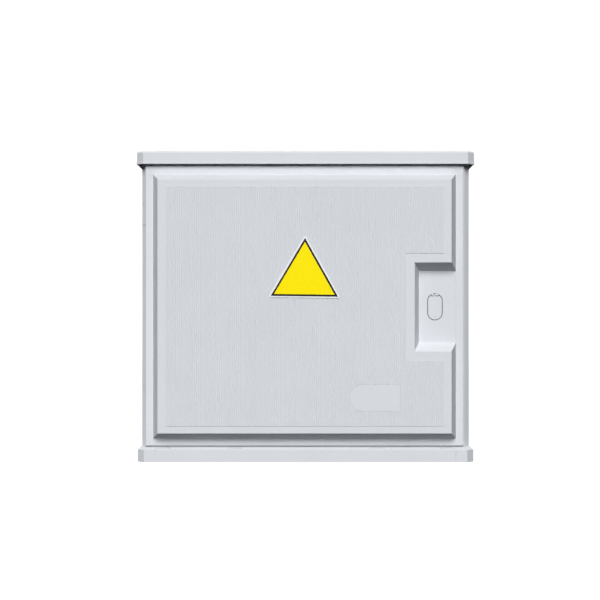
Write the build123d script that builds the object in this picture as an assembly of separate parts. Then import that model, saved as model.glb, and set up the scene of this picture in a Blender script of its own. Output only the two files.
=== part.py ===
from build123d import *
import math
import os

# Roadside utility cabinet, in millimetres: +Z up, the door faces -Y, the origin is the centre of the
# footprint on the ground.

# Clearances, each named for the kind of fit
RUN_FIT = 0.05
THREAD_FIT = 0.05
HOLE_FIT = 0.3
SLIDE_FIT = 0.2
SEAM = 0.5

# Shell
WALL = 4.0
BODY_WIDTH = 641.0
BODY_DEPTH = 250.0
WALL_HEIGHT = 558.0
BODY_CHAMFER = 10.0
FRONT_FLANGE = 16.0
FRONT_LIP = 12.0
REAR_FLANGE = 30.0
SEAT_FLANGE = 28.0
BOSS_RADIUS = 7.5

# Base
BASE_SKIRT = 24.0
BASE_SLOPE = 5.0
BASE_SIDE = 7.5
BASE_FRONT = 14.0
BASE_BACK = 4.0
BASE_CHAMFER = 13.5
SILL_HEIGHT = 27.0
SILL_LIP = 20.0
SILL_PAD_WIDTH = 26.0
SILL_PAD_TOP = 28.0
SILL_PAD_INSET = 4.0
SILL_PAD_EDGE = 1.0
SILL_PAD_DEPTH = 8.5
BASE_SEAM_INSET = 2.5
BASE_SEAM_WIDTH = 1.6
ANCHOR_RADIUS = 6.5
ANCHOR_FROM_FRONT = 28.0
ANCHOR_FROM_BACK = 27.0
ANCHOR_PAD = 40.0

# Roof
ROOF_SIDE = 9.5
ROOF_FRONT = 15.0
ROOF_BACK = 6.0
ROOF_CHAMFER = 13.5
ROOF_DROP = 6.0
ROOF_RISE = 19.0
ROOF_LIP = 3.6
ROOF_LIP_STEP = 0.8
ROOF_ROUND = 4.0
ROOF_CROWN = 4.0
CROWN_INSET = 70.0
COVE_HEIGHT = 9.5
COVE_INSET = 1.0
COVE_START = 30.0
VENT_WIDTH = 120.0
VENT_HEIGHT = 8.0
VENT_COUNT = 3

# Top rail behind the door's upper flange
RAIL_HEIGHT = 32.0
RAIL_FLANGE = 34.0
RAIL_LIP = 20.0

# Door
DOOR_SHIFT = -2.0
DOOR_GAP_LOW = 2.5
DOOR_GAP_HIGH = 2.0
DOOR_WALL = 4.0
DOOR_ROUND = 1.5
DOOR_RAISE = 26.25
DOOR_BEVEL = 11.0
DOOR_FLANGE = 15.0
DOOR_FLANGE_TOP = 18.0
DOOR_FRAME = 14.0
PANEL_ROUND = 2.0
TAB_X = -105.0
TAB_WIDTH = 16.0
TAB_HEIGHT = 1.5
RIB_WIDTH = 3.0
RIB_HEIGHT = 8.0
RIB_COLUMNS = 4
RIB_ROW_RISE = 125.0

# Vertical ridges on the door's field
RIDGE_PITCH = 4.07
RIDGE_HEIGHT = 0.9
RIDGE_CREST = 1.1
RIDGE_ROOT = 1.1
FIELD_STEP = 0.15

# Lock recess and its stadium cover
RECESS_WIDTH = 72.5
RECESS_HEIGHT = 140.0
RECESS_DROP = 2.5
RECESS_BEVEL = 16.0
RECESS_SIDE_BEVEL = 10.0
RECESS_FRAME = 17.5
RECESS_STEP = 0.4
FLAP_INSET = 31.5
FLAP_WIDTH = 27.0
FLAP_HEIGHT = 50.0
FLAP_THICKNESS = 2.4
FLAP_GAP = 1.4
FLAP_FLAT = 2.0
FLAP_KNUCKLE_RADIUS = 1.6
FLAP_KNUCKLE_WIDTH = 5.0
FLAP_EAR_WIDTH = 3.0
FLAP_PIN_RADIUS = 0.8
FLAP_NOTCH = (1.6, 1.2, 3.6)
FLAP_NOTCH_RISE = 6.0

# Bare pad in the field
PAD_WIDTH = 97.0
PAD_HEIGHT = 51.0
PAD_FROM_RIGHT = 85.5
PAD_FROM_BOTTOM = 29.5
PAD_STEP = 0.5
PAD_MARGIN = 0.8

# Triangular plate
SIGN_SIDE = 130.0
SIGN_MARGIN = 2.8
SIGN_BORDER = 3.7
SIGN_RISE = 55.5
SIGN_TURN = -0.7
SIGN_PLATE = 0.8
SIGN_FILM = 0.2

# Gasket between the door and the body
GASKET = 1.5
GASKET_WIDTH = 6.0

# Hinges
PIVOT_INSET = 2.0
PIVOT_DEPTH = 14.0
HINGE_FROM_END = 95.0
LUG_HEIGHT = 40.0
LUG_RADIUS = 14.5
LUG_HALF_WIDTH = 6.0
KNUCKLE_RADIUS = 4.5
KNUCKLE_HEIGHT = 12.0
PIN_RADIUS = 2.5
PIN_HEAD = 2.0
PIN_TAIL = 2.0
BRACKET_THICKNESS = 3.0
BRACKET_LENGTH = 50.0
BRACKET_START = 16.0
BRACKET_SCREW_INSET = 10.0
WALL_PAD = 6.0

# Lock
GEAR_MODULE = 1.5
GEAR_TEETH = 14
GEAR_WIDTH = 8.0
BACKLASH = 0.3
PRESSURE_ANGLE = 20.0
DEDENDUM = 1.25
ROD_DEPTH = 13.5
ROD_RADIUS = 3.5
ROD_ASIDE = 14.0
ROD_CLEAR = 2.0
RACK_BACK = 5.0
RACK_SPARE = 2.0
ROD_ROOT = 4.0
ROD_TIP_CHAMFER = 1.0
HOUSING_HALF_WIDTH = 25.0
HOUSING_HALF_HEIGHT = 40.0
HOUSING_DEPTH = 21.5
HOUSING_WALL = 2.5
HOUSING_FACE = 3.0
COVER_THICKNESS = 2.5
POST = 6.0
EAR = 12.0
BARREL_RADIUS = 8.0
BARREL_TAIL = 6.0
BARREL_PROUD = 1.5
BARREL_SQUARE = 8.0
BARREL_FLANGE = 2.0
KEY_SLOT = (2.4, 9.0)
KEY_SLOT_DEPTH = 5.0
KEY_HOLE_RADIUS = 2.2
CAM_THICKNESS = 3.0
CAM_HALF_WIDTH = 8.0
CAM_REACH = 48.0
CAM_HUB_RADIUS = 10.0
CAM_CLEAR = 1.0
CAM_WASHER = 1.2
CAM_SCREW_LENGTH = 11.0
KEEPER_THICKNESS = 2.0
KEEPER_LENGTH = 44.0
KEEPER_HOLE = 5.4
KEEPER_EDGE = 1.0
KEEPER_SCREW_TAIL = 2.0
KEEPER_BOLT_SPACING = 30.0
SIDE_KEEPER_THICKNESS = 3.0
SIDE_KEEPER_HEIGHT = 40.0
SIDE_KEEPER_LENGTH = 34.0
SIDE_KEEPER_REACH = 18.5
SIDE_KEEPER_SCREW_INSET = 20.5
SIDE_KEEPER_SCREW_SPACING = 20.0
GUIDE_FROM_END = 98.0
GUIDE_HALF_WIDTH = 9.0
GUIDE_HEIGHT = 14.0
GUIDE_FOOT = 20.0
GUIDE_FOOT_THICKNESS = 3.0
GUIDE_WALL = 3.0

# Cable entry
GLAND_THICKNESS = 3.0
GLAND_OVERLAP = 15.0
GLAND_FRONT = 25.0
GLAND_GAP = 3.0
GROMMET_COUNT = 4
GROMMET_RADIUS = 22.0
GROMMET_LIP = 4.0
GROMMET_WALL = 3.5
GROMMET_MEMBRANE = 1.5
GROMMET_FLANGE = 3.0
GROMMET_NECK = 5.0

# Inner plate and what it carries
PLATE_WIDTH = 440.0
PLATE_HEIGHT = 420.0
PLATE_THICKNESS = 2.0
STANDOFF_LENGTH = 30.0
STANDOFF_RADIUS = 8.0
STANDOFF_INSET = 30.0
RAIL_LENGTH = 400.0
RAIL_SCREW_INSET = 20.0
DIN_RISES = (-35.0, 115.0)
DIN_HEIGHT = 35.0
DIN_BASE = 27.0
DIN_DEPTH = 7.5
DIN_SHEET = 1.0
CABLE_RAIL_RISE = -155.0
CABLE_RAIL_HEIGHT = 30.0
CABLE_RAIL_DEPTH = 15.0
CABLE_RAIL_LIP = 7.0
CABLE_RAIL_SHEET = 2.0
EARTH_LENGTH = 100.0
EARTH_HEIGHT = 12.0
EARTH_DEPTH = 8.0
EARTH_X = 110.0
EARTH_RISE = -190.0
EARTH_SCREWS = 5
EARTH_WIRE_RADIUS = 2.4
EARTH_SCREW_INSET = 6.0
EARTH_CLAMP_INSET = 12.0

# Fixing to a wall or a post, and the back wall's stiffening ribs
FIXING_RADIUS = 5.5
FIXING_SPACING_X = 480.0
FIXING_SPACING_Z = 410.0
FIXING_PAD = 14.0
BACK_RIB_COUNT = 5
BACK_RIB_SPACING = 65.0
BACK_RIB_WIDTH = 14.0
BACK_RIB_HEIGHT = 440.0

# Screws: shank radius, head radius, head height
M4 = (2.0, 3.8, 2.6)
M5 = (2.5, 4.6, 3.2)
M6 = (3.0, 5.6, 3.8)
HEAD_CHAMFER = 0.6
NUT_RADIUS = 4.6
NUT_HEIGHT = 4.0

# Where screws stand and how deep they go
SIDE_SCREW_SPACING = 60.0
BACK_SCREW_SPACING = 199.0
REAR_SCREW_SPACING = 201.0
GLAND_SCREW_SPACING = 257.0
SHELL_SCREW_BITE = 11.0
SHELL_BORE = 12.5
GLAND_SCREW_BITE = 10.0
STANDOFF_SCREW_BITE = 6.0
PLATE_SCREW_TAIL = 4.0
BACK_SCREW_TAIL = 6.0
COVER_SCREW_LENGTH = 12.0
COVER_BORE = 11.5
DOOR_SCREW_BITE = 2.5
DOOR_BORE = 3.0
BORE_SKIN = 1.0

# Places of the shell, worked out from the sizes above
half_width = BODY_WIDTH / 2
front_reach = GASKET + DOOR_WALL + DOOR_RAISE + FIELD_STEP + RIDGE_HEIGHT + SIGN_PLATE + 2 * SIGN_FILM
y_front = (front_reach - BODY_DEPTH - ROOF_BACK) / 2
y_back = y_front + BODY_DEPTH
z_floor = BASE_SKIRT + BASE_SLOPE
z_top = z_floor + WALL_HEIGHT
z_skirt = z_top - ROOF_DROP
z_eave = z_top + ROOF_RISE
y_panel_out = y_back - WALL
y_panel_in = y_panel_out - WALL
seat_inner = half_width - WALL - SEAT_FLANGE
front_inner = half_width - BODY_CHAMFER - FRONT_FLANGE
sill_pad_x = front_inner - SILL_PAD_INSET - SILL_PAD_WIDTH / 2
z_sill = z_floor + SILL_HEIGHT
z_rail = z_top - RAIL_HEIGHT

# Places of the door
door_left = -half_width + BODY_CHAMFER + DOOR_SHIFT
door_right = half_width - BODY_CHAMFER + DOOR_SHIFT
door_low = z_floor + DOOR_GAP_LOW
door_high = z_skirt - DOOR_GAP_HIGH
door_x = (door_left + door_right) / 2
door_z = (door_low + door_high) / 2
y_inner = y_front - GASKET
y_flange = y_inner - DOOR_WALL
y_panel = y_flange - DOOR_RAISE
y_crest = y_panel - FIELD_STEP - RIDGE_HEIGHT
foot_left = door_left + DOOR_FLANGE
foot_right = door_right - DOOR_FLANGE
foot_low = door_low + DOOR_FLANGE
foot_high = door_high - DOOR_FLANGE_TOP
field_left = foot_left + DOOR_BEVEL + DOOR_FRAME
field_right = foot_right - DOOR_BEVEL - DOOR_FRAME
field_low = foot_low + DOOR_BEVEL + DOOR_FRAME
field_high = foot_high - DOOR_BEVEL - DOOR_FRAME
recess_left = foot_right - RECESS_WIDTH
recess_z = door_z - RECESS_DROP
recess_low = recess_z - RECESS_HEIGHT / 2
recess_high = recess_z + RECESS_HEIGHT / 2
y_recess = y_flange - RECESS_STEP

# Places of the hinges and the lock
pivot_x = door_left + PIVOT_INSET
pivot_y = y_inner + PIVOT_DEPTH
hinge_heights = {"upper": door_high - HINGE_FROM_END, "lower": door_low + HINGE_FROM_END}
lock_x = recess_left + FLAP_INSET
lock_z = recess_z
rod_y = y_inner + ROD_DEPTH
gear_y = (rod_y - GEAR_WIDTH / 2, rod_y + GEAR_WIDTH / 2)
pitch_radius = GEAR_MODULE * GEAR_TEETH / 2
y_housing_face = y_inner + HOUSING_FACE
y_cover = (y_inner + HOUSING_DEPTH, y_inner + HOUSING_DEPTH + COVER_THICKNESS)
y_cam = (y_cover[1] + M4[2] + SEAM, y_cover[1] + M4[2] + SEAM + CAM_THICKNESS)
y_keeper = (y_cam[0] - CAM_CLEAR - SIDE_KEEPER_THICKNESS, y_cam[0] - CAM_CLEAR)
guide_heights = (door_high - GUIDE_FROM_END, door_low + GUIDE_FROM_END)
rod_xs = {"upper": lock_x - ROD_ASIDE, "lower": lock_x + ROD_ASIDE}

# Places of what stands inside
plate_z = (z_floor + z_top) / 2
y_plate = (y_panel_in - STANDOFF_LENGTH - PLATE_THICKNESS, y_panel_in - STANDOFF_LENGTH)
gland_half = seat_inner - GLAND_GAP
gland_y = (y_front + GLAND_FRONT, y_panel_in - SEAT_FLANGE - GLAND_GAP)


def block(x, y, z):
    """A box between low and high values along each axis."""
    middle = [(pair[0] + pair[1]) / 2 for pair in (x, y, z)]
    size = [abs(pair[1] - pair[0]) for pair in (x, y, z)]
    return Pos(*middle) * Box(*size)


def around(centre, half):
    return (centre - half, centre + half)


def spread(count, half):
    """Evenly spaced places about 0, half a space in from each end."""
    return [half * (2 * index + 1 - count) / count for index in range(count)]


def prism_x(points, x):
    """A polygon of (y, z) points, extruded between two x values."""
    wire = Wire.make_polygon([(x[0], point[0], point[1]) for point in points])
    return Solid.extrude(Face(wire), Vector(x[1] - x[0], 0, 0))


def prism_y(points, y):
    """A polygon of (x, z) points, extruded between two y values."""
    wire = Wire.make_polygon([(point[0], y[0], point[1]) for point in points])
    return Solid.extrude(Face(wire), Vector(0, y[1] - y[0], 0))


def prism_z(points, z):
    """A polygon of (x, y) points, extruded between two z values."""
    wire = Wire.make_polygon([(point[0], point[1], z[0]) for point in points])
    return Solid.extrude(Face(wire), Vector(0, 0, z[1] - z[0]))


def shaft(start, end, radius):
    """A cylinder from one point to another."""
    axis = Vector(*end) - Vector(*start)
    return Solid.make_cylinder(radius, axis.length, Plane(origin=start, z_dir=axis))


def frustum(low, high):
    """A closed solid with flat faces between two polygons that have as many corners."""
    faces = [Face(Wire.make_polygon(low)), Face(Wire.make_polygon(high))]
    for index in range(len(low)):
        following = (index + 1) % len(low)
        corners = [low[index], low[following], high[following], high[index]]
        faces.append(Face(Wire.make_polygon(corners)))
    return Solid(Shell(faces))


def bent_strip(points, thickness):
    """The outline of a folded strip whose right-hand side follows the points."""
    shifted = []
    for index, point in enumerate(points):
        before = points[max(index - 1, 0)]
        after = points[min(index + 1, len(points) - 1)]
        normals = []
        for start, end in ((before, point), (point, after)):
            length = math.dist(start, end)
            if length:
                normals.append(((start[1] - end[1]) / length, (end[0] - start[0]) / length))
        mean = [sum(normal[axis] for normal in normals) / len(normals) for axis in (0, 1)]
        stretch = thickness / (mean[0] ** 2 + mean[1] ** 2)
        shifted.append((point[0] + mean[0] * stretch, point[1] + mean[1] * stretch))
    return list(points) + shifted[::-1]


def chamfered_outline(half, y, chamfer, inset=0.0):
    """The plan of a rectangle with four cut corners, drawn in all round by the inset."""
    cut = max(chamfer - inset * (2 - math.sqrt(2)), 0.5)
    x = half - inset
    low = y[0] + inset
    high = y[1] - inset
    corners = [(-x, low + cut), (-x + cut, low), (x - cut, low), (x, low + cut)]
    corners += [(x, high - cut), (x - cut, high), (-x + cut, high), (-x, high - cut)]
    return corners


def body_outline(inset=0.0):
    """The plan of the body, with its four cut corners."""
    return chamfered_outline(half_width, (y_front, y_back), BODY_CHAMFER, inset)


def at_height(points, z):
    return [(point[0], point[1], z) for point in points]


def stadium(x, z, width, height, y):
    """An upright plate with half-round ends, between two y values."""
    radius = width / 2
    reach = height / 2 - radius
    plate = block((x - radius, x + radius), y, (z - reach, z + reach))
    for side in (-reach, reach):
        plate += shaft((x, y[0], z + side), (x, y[1], z + side), radius)
    return plate


def screw(seat, direction, size, length):
    """A socket screw whose head lies on the seat and whose shank follows the direction."""
    radius, head_radius, head_height = size
    seat = Vector(*seat)
    direction = Vector(*direction)
    top = seat - direction * head_height
    head = shaft(top, seat, head_radius)
    head = head.chamfer(HEAD_CHAMFER, None, [edge for edge in head.edges() if is_rim(edge, top, head_radius)])
    body = head + shaft(seat, seat + direction * length, radius)
    socket = extrude(Plane(origin=top, z_dir=direction) * RegularPolygon(radius * 0.95, 6), head_height * 0.6)
    return body - socket


def is_rim(edge, centre, radius):
    """True for a full circle of this radius about this centre."""
    return edge.geom_type == GeomType.CIRCLE and (edge.arc_center - centre).length < 0.01 and (
        abs(edge.radius - radius) < 0.01)


def holes(places, direction, length, radius):
    """Round cutters that start at each place."""
    direction = Vector(*direction)
    return [shaft(Vector(*place), Vector(*place) + direction * length, radius) for place in places]


def screws(places, direction, size, length):
    return Compound([screw(place, direction, size, length) for place in places])


def cut(solid, cutters):
    for cutter in cutters:
        solid = solid - cutter
    return solid


def join(solid, others):
    for other in others:
        solid = solid + other
    return solid


# Screw places, each list used by the holes and by the screws in them
seat_x = half_width - WALL - SEAT_FLANGE / 2
seat_y = y_panel_in - SEAT_FLANGE / 2
side_screw_ys = [(y_front + y_back) / 2 + step * SIDE_SCREW_SPACING for step in (-1, 0, 1)]
back_screw_xs = [step * BACK_SCREW_SPACING for step in (-1, 0, 1)]
seat_places = [(side * seat_x, y) for side in (-1, 1) for y in side_screw_ys]
seat_places += [(x, seat_y) for x in back_screw_xs]
rail_places = [(x, y_front + WALL + RAIL_FLANGE / 2) for x in back_screw_xs]
anchor_ys = (y_front + ANCHOR_FROM_FRONT, y_back - ANCHOR_FROM_BACK)
anchor_places = [(side * seat_x, y) for side in (-1, 1) for y in anchor_ys]
rear_screw_x = half_width - (REAR_FLANGE + BODY_CHAMFER) / 2
rear_places = [(side * rear_screw_x, plate_z + step * REAR_SCREW_SPACING)
               for side in (-1, 1) for step in (-1, 0, 1)]
gland_screw_y = (gland_y[0] + GLAND_OVERLAP / 2, gland_y[1] - GLAND_OVERLAP / 2)
gland_places = [(step * GLAND_SCREW_SPACING, y) for step in (-1, 0, 1) for y in gland_screw_y]
standoff_x = PLATE_WIDTH / 2 - STANDOFF_INSET
standoff_rise = PLATE_HEIGHT / 2 - STANDOFF_INSET
standoff_places = [(i * standoff_x, plate_z + j * standoff_rise) for i in (-1, 1) for j in (-1, 1)]
fixing_places = [(i * FIXING_SPACING_X / 2, plate_z + j * FIXING_SPACING_Z / 2)
                 for i in (-1, 1) for j in (-1, 1)]


def make_base_frame():
    y_range = (y_front - BASE_FRONT, y_back + BASE_BACK)
    outer = chamfered_outline(half_width + BASE_SIDE, y_range, BASE_CHAMFER)
    shoulder = chamfered_outline(half_width, (y_front, y_back), BODY_CHAMFER)
    solid = prism_z(outer, (0, BASE_SKIRT))
    solid = solid + frustum(at_height(outer, BASE_SKIRT), at_height(shoulder, z_floor))
    z_plate = z_floor - WALL
    hollow = chamfered_outline(half_width + BASE_SIDE, y_range, BASE_CHAMFER, WALL)
    solid = solid - prism_z(hollow, (-1, BASE_SKIRT - WALL))
    under = chamfered_outline(half_width, (y_front, y_back), BODY_CHAMFER, WALL)
    solid = solid - frustum(at_height(hollow, BASE_SKIRT - WALL), at_height(under, z_plate))
    for x, y in anchor_places:
        outward = math.copysign(half_width, x)
        ahead = y_front if y < 0 else y_back
        pad = block((x - math.copysign(ANCHOR_PAD / 2, x), outward), sorted((y - math.copysign(
            ANCHOR_PAD / 2, y), ahead)), (0, z_plate + 1))
        solid = solid + pad
    bosses = [shaft((x, y, WALL), (x, y, z_plate + 1), BOSS_RADIUS) for x, y in seat_places]
    bosses += [shaft((x, y, WALL), (x, y, z_plate + 1), BOSS_RADIUS) for x, y in gland_places]
    solid = join(solid, bosses)
    opening_y = (gland_y[0] + GLAND_OVERLAP, gland_y[1] - GLAND_OVERLAP)
    solid = solid - block(around(0, gland_half - GLAND_OVERLAP), opening_y, (-1, z_floor + 1))
    sill = block(around(0, front_inner - SEAM), (y_front, y_front + WALL), (z_floor - 1, z_sill))
    lip_y = (y_front + WALL, y_front + WALL + SILL_LIP)
    sill_lip = block(around(0, seat_inner - SEAM), lip_y, (z_sill - WALL, z_sill))
    solid = solid + sill + sill_lip
    y_pad = y_front - BASE_FRONT + SILL_PAD_EDGE
    pad_y = (y_pad, y_pad + SILL_PAD_DEPTH)
    pads = [block(around(share * sill_pad_x, SILL_PAD_WIDTH / 2), pad_y, (BASE_SKIRT - 1, SILL_PAD_TOP))
            for share in (-1, -0.5, 0.5, 1)]
    solid = join(solid, pads)
    seam_y = (y_front - BASE_FRONT - 1, y_front - BASE_FRONT + BASE_SEAM_WIDTH)
    seam_x = front_inner - BASE_SEAM_INSET
    seams = [block(around(side * seam_x, BASE_SEAM_WIDTH / 2), seam_y, (-1, BASE_SKIRT)) for side in (-1, 1)]
    solid = cut(solid, seams)
    solid = cut(solid, holes([(x, y, -1) for x, y in anchor_places], (0, 0, 1), z_floor + 2, ANCHOR_RADIUS))
    z_bore = z_floor - SHELL_BORE
    for places, size in ((seat_places, M6), (gland_places, M5)):
        bores = [(x, y, z_bore) for x, y in places]
        solid = cut(solid, holes(bores, (0, 0, 1), z_floor, size[0] + THREAD_FIT))
    keeper = keeper_holes("lower", z_sill - WALL - 1, WALL + 2)
    return cut(solid, keeper)


def keeper_holes(side, z, length):
    """The rod's hole and the two screw holes through a lip."""
    x = rod_xs[side]
    cutters = holes([(x, rod_y, z)], (0, 0, 1), length, KEEPER_HOLE)
    places = [(x + shift, rod_y, z) for shift in (-KEEPER_BOLT_SPACING / 2, KEEPER_BOLT_SPACING / 2)]
    return cutters + holes(places, (0, 0, 1), length, M4[0] + HOLE_FIT)


def wall_strip():
    """The left wall's plan: rear flange, cut corner, side, cut corner, front flange and return lip."""
    path = [(-half_width + REAR_FLANGE, y_back), (-half_width + BODY_CHAMFER, y_back)]
    path += [(-half_width, y_back - BODY_CHAMFER), (-half_width, y_front + BODY_CHAMFER)]
    path += [(-half_width + BODY_CHAMFER, y_front), (-front_inner, y_front)]
    path += [(-front_inner, y_front + FRONT_LIP)]
    return prism_z(bent_strip(path, WALL), (z_floor, z_top))


def make_side_wall():
    """The left wall without its hinge pockets; the right one is its mirror image."""
    solid = wall_strip()
    seat_x_range = (-half_width, -seat_inner)
    seat_y_range = (y_front + WALL, y_panel_in - SEAM)
    for z in ((z_floor, z_floor + WALL), (z_top - WALL, z_top)):
        solid = solid + (block(seat_x_range, seat_y_range, z) & prism_z(body_outline(WALL / 2), z))
    reach = ROOF_SIDE - COVE_INSET
    z_low = z_skirt - SEAM - COVE_HEIGHT
    z_high = z_skirt - SEAM
    start = y_front + COVE_START
    end = y_back - BODY_CHAMFER
    low = [(-half_width, start, z_low), (-half_width, end, z_low), (-half_width + 1, end, z_low)]
    low += [(-half_width + 1, start, z_low)]
    high = [(-half_width - reach, start - reach, z_high), (-half_width - reach, end, z_high)]
    high += [(-half_width + 1, end, z_high), (-half_width + 1, start - reach, z_high)]
    solid = solid + frustum(low, high)
    for x, y in seat_places[:3]:
        seats = [(x, y, z_floor - 1), (x, y, z_top - WALL - 1)]
        solid = cut(solid, holes(seats, (0, 0, 1), WALL + 2, M6[0] + HOLE_FIT))
    anchors = [(x, y, z_floor - 1) for x, y in anchor_places if x < 0]
    solid = cut(solid, holes(anchors, (0, 0, 1), WALL + 2, ANCHOR_RADIUS))
    for x, z in rear_places[:3]:
        solid = solid - shaft((x, y_panel_out - 1, z), (x, y_back + 1, z), M5[0] + HOLE_FIT)
        solid = solid - rear_head(x, z, SLIDE_FIT / 2)
    return solid


def rear_head(x, z, gap=0.0):
    """The countersunk head of a rear screw, or its seat with a gap."""
    depth = M5[1] - M5[0]
    plane = Plane(origin=(x, y_back + gap, z), z_dir=(0, -1, 0))
    return Solid.make_cone(M5[1] + gap, M5[0] + gap, depth, plane)


def make_left_wall():
    solid = make_side_wall()
    for z in hinge_heights.values():
        half = LUG_HEIGHT / 2 + SEAM
        pocket = shaft((pivot_x, pivot_y, z - half), (pivot_x, pivot_y, z + half), LUG_RADIUS + SEAM)
        limit = block((-half_width - 1, -front_inner - WALL - 1), (y_front - 1, y_back), (z - half, z + half))
        solid = solid - (pocket & limit)
        pad_z = around(z, bracket_half())
        pad_y = (pivot_y + BRACKET_START, pivot_y + BRACKET_LENGTH)
        solid = solid + block((-half_width + WALL - 1, -half_width + WALL + WALL_PAD), pad_y, pad_z)
        places = [(-half_width + BRACKET_THICKNESS, y, height) for y, height in bracket_screw_places(z)]
        solid = cut(solid, holes(places, (1, 0, 0), WALL + WALL_PAD, M5[0] + THREAD_FIT))
    return solid


def make_right_wall():
    solid = mirror(make_side_wall(), about=Plane.YZ)
    pad_z = around(lock_z, SIDE_KEEPER_HEIGHT / 2)
    pad_y = (y_keeper[0], y_keeper[0] + SIDE_KEEPER_LENGTH)
    solid = solid + block((half_width - WALL - WALL_PAD, half_width - WALL + 1), pad_y, pad_z)
    places = [(half_width - BRACKET_THICKNESS, y, z) for y, z in side_keeper_places()]
    return cut(solid, holes(places, (-1, 0, 0), WALL + WALL_PAD, M5[0] + THREAD_FIT))


def bracket_half():
    return LUG_HEIGHT / 2 + SEAM + KNUCKLE_HEIGHT


def bracket_screw_places(z):
    y = pivot_y + (BRACKET_START + BRACKET_LENGTH) / 2
    rise = bracket_half() - BRACKET_SCREW_INSET
    return [(y, z - rise), (y, z + rise)]


def side_keeper_places():
    y = y_keeper[0] + SIDE_KEEPER_SCREW_INSET
    return [(y, lock_z - SIDE_KEEPER_SCREW_SPACING / 2), (y, lock_z + SIDE_KEEPER_SCREW_SPACING / 2)]


def make_back_wall():
    panel_half = half_width - BODY_CHAMFER - WALL * (math.sqrt(2) - 1) - SEAM
    solid = block(around(0, panel_half), (y_panel_in, y_panel_out), (z_floor, z_top))
    seat_range = around(0, seat_inner - SEAM)
    for z in ((z_floor, z_floor + WALL), (z_top - WALL, z_top)):
        solid = solid + block(seat_range, (y_panel_in - SEAT_FLANGE, y_panel_in + 1), z)
    for x in spread(BACK_RIB_COUNT, BACK_RIB_COUNT * BACK_RIB_SPACING / 2):
        rib_z = around(plate_z, BACK_RIB_HEIGHT / 2)
        solid = solid + block(around(x, BACK_RIB_WIDTH / 2), (y_panel_out - 1, y_back), rib_z)
    for x, z in fixing_places:
        solid = solid + shaft((x, y_panel_out - 1, z), (x, y_back, z), FIXING_PAD)
    for x, z in standoff_places:
        solid = solid + shaft((x, y_panel_out - 1, z), (x, y_back, z), STANDOFF_RADIUS)
    for x, z in fixing_places:
        solid = solid - shaft((x, y_panel_in - 1, z), (x, y_back + 1, z), FIXING_RADIUS)
    for x, z in standoff_places:
        solid = solid - shaft((x, y_panel_in - 1, z), (x, y_back - BORE_SKIN, z), M6[0] + THREAD_FIT)
    for x, z in rear_places:
        solid = solid - shaft((x, y_panel_in - 1, z), (x, y_panel_out + 1, z), M5[0] + HOLE_FIT)
    for x, y in seat_places[6:]:
        seats = [(x, y, z_floor - 1), (x, y, z_top - WALL - 1)]
        solid = cut(solid, holes(seats, (0, 0, 1), WALL + 2, M6[0] + HOLE_FIT))
    return solid


def make_roof():
    y_range = (y_front - ROOF_FRONT, y_back + ROOF_BACK)
    half = half_width + ROOF_SIDE
    lip = chamfered_outline(half, y_range, ROOF_CHAMFER)
    face = chamfered_outline(half, y_range, ROOF_CHAMFER, ROOF_LIP_STEP)
    cap = prism_z(face, (z_skirt, z_eave))
    cap = fillet([edge for edge in cap.edges() if abs(edge.center().Z - z_eave) < 0.01], ROOF_ROUND)
    edge_line = chamfered_outline(half, y_range, ROOF_CHAMFER, ROOF_LIP_STEP + ROOF_ROUND)
    crown_line = chamfered_outline(half, y_range, ROOF_CHAMFER, CROWN_INSET)
    solid = cap + frustum(at_height(edge_line, z_eave), at_height(crown_line, z_eave + ROOF_CROWN))
    solid = solid + prism_z(lip, (z_skirt, z_skirt + ROOF_LIP))
    z_inside = z_eave - WALL
    inside = chamfered_outline(half, y_range, ROOF_CHAMFER, ROOF_LIP_STEP + WALL)
    solid = solid - prism_z(inside, (z_skirt - 1, z_inside))
    solid = solid - frustum(at_height(inside, z_inside), at_height(crown_line, z_inside + ROOF_CROWN))
    seat = prism_z(body_outline(), (z_top, z_inside + WALL / 2))
    seat = seat - prism_z(body_outline(WALL), (z_top - 1, z_eave))
    vent_y = (y_front - 1, y_front + WALL + 1)
    vents = [block(around(x, VENT_WIDTH / 2), vent_y, (z_top - 1, z_top + VENT_HEIGHT))
             for x in spread(VENT_COUNT, front_inner)]
    solid = solid + cut(seat, vents)
    boss_places = seat_places + rail_places
    bosses = [shaft((x, y, z_top), (x, y, z_eave), BOSS_RADIUS) for x, y in boss_places]
    solid = join(solid, bosses)
    bores = [(x, y, z_top - 1) for x, y in boss_places]
    return cut(solid, holes(bores, (0, 0, 1), SHELL_BORE + 1, M6[0] + THREAD_FIT))


def make_front_top_rail():
    solid = block(around(0, front_inner - SEAM), (y_front, y_front + WALL), (z_rail, z_top))
    solid = solid + block(around(0, seat_inner - SEAM), (y_front + WALL, y_front + WALL + RAIL_FLANGE), (
        z_top - WALL, z_top))
    solid = solid + block(around(0, seat_inner - SEAM), (y_front + WALL, y_front + WALL + RAIL_LIP), (
        z_rail, z_rail + WALL))
    places = [(x, y, z_top - WALL - 1) for x, y in rail_places]
    solid = cut(solid, holes(places, (0, 0, 1), WALL + 2, M6[0] + HOLE_FIT))
    return cut(solid, keeper_holes("upper", z_rail - 1, WALL + 2))


def raised_panel(grow):
    """The door's raised part: its outside for 0, and its hollow when drawn in by the wall."""
    slant = math.hypot(DOOR_BEVEL, DOOR_RAISE) / DOOR_RAISE * grow
    drop = grow * DOOR_BEVEL / DOOR_RAISE
    inset = slant - drop
    depth = (y_flange + grow, y_panel + grow)
    corners = []
    for y, step in zip(depth, (inset, inset + DOOR_BEVEL)):
        left = foot_left + step
        right = foot_right - step
        low = foot_low + step
        high = foot_high - step
        corners.append([(left, y, low), (right, y, low), (right, y, high), (left, y, high)])
    return frustum(corners[0], corners[1])


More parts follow.
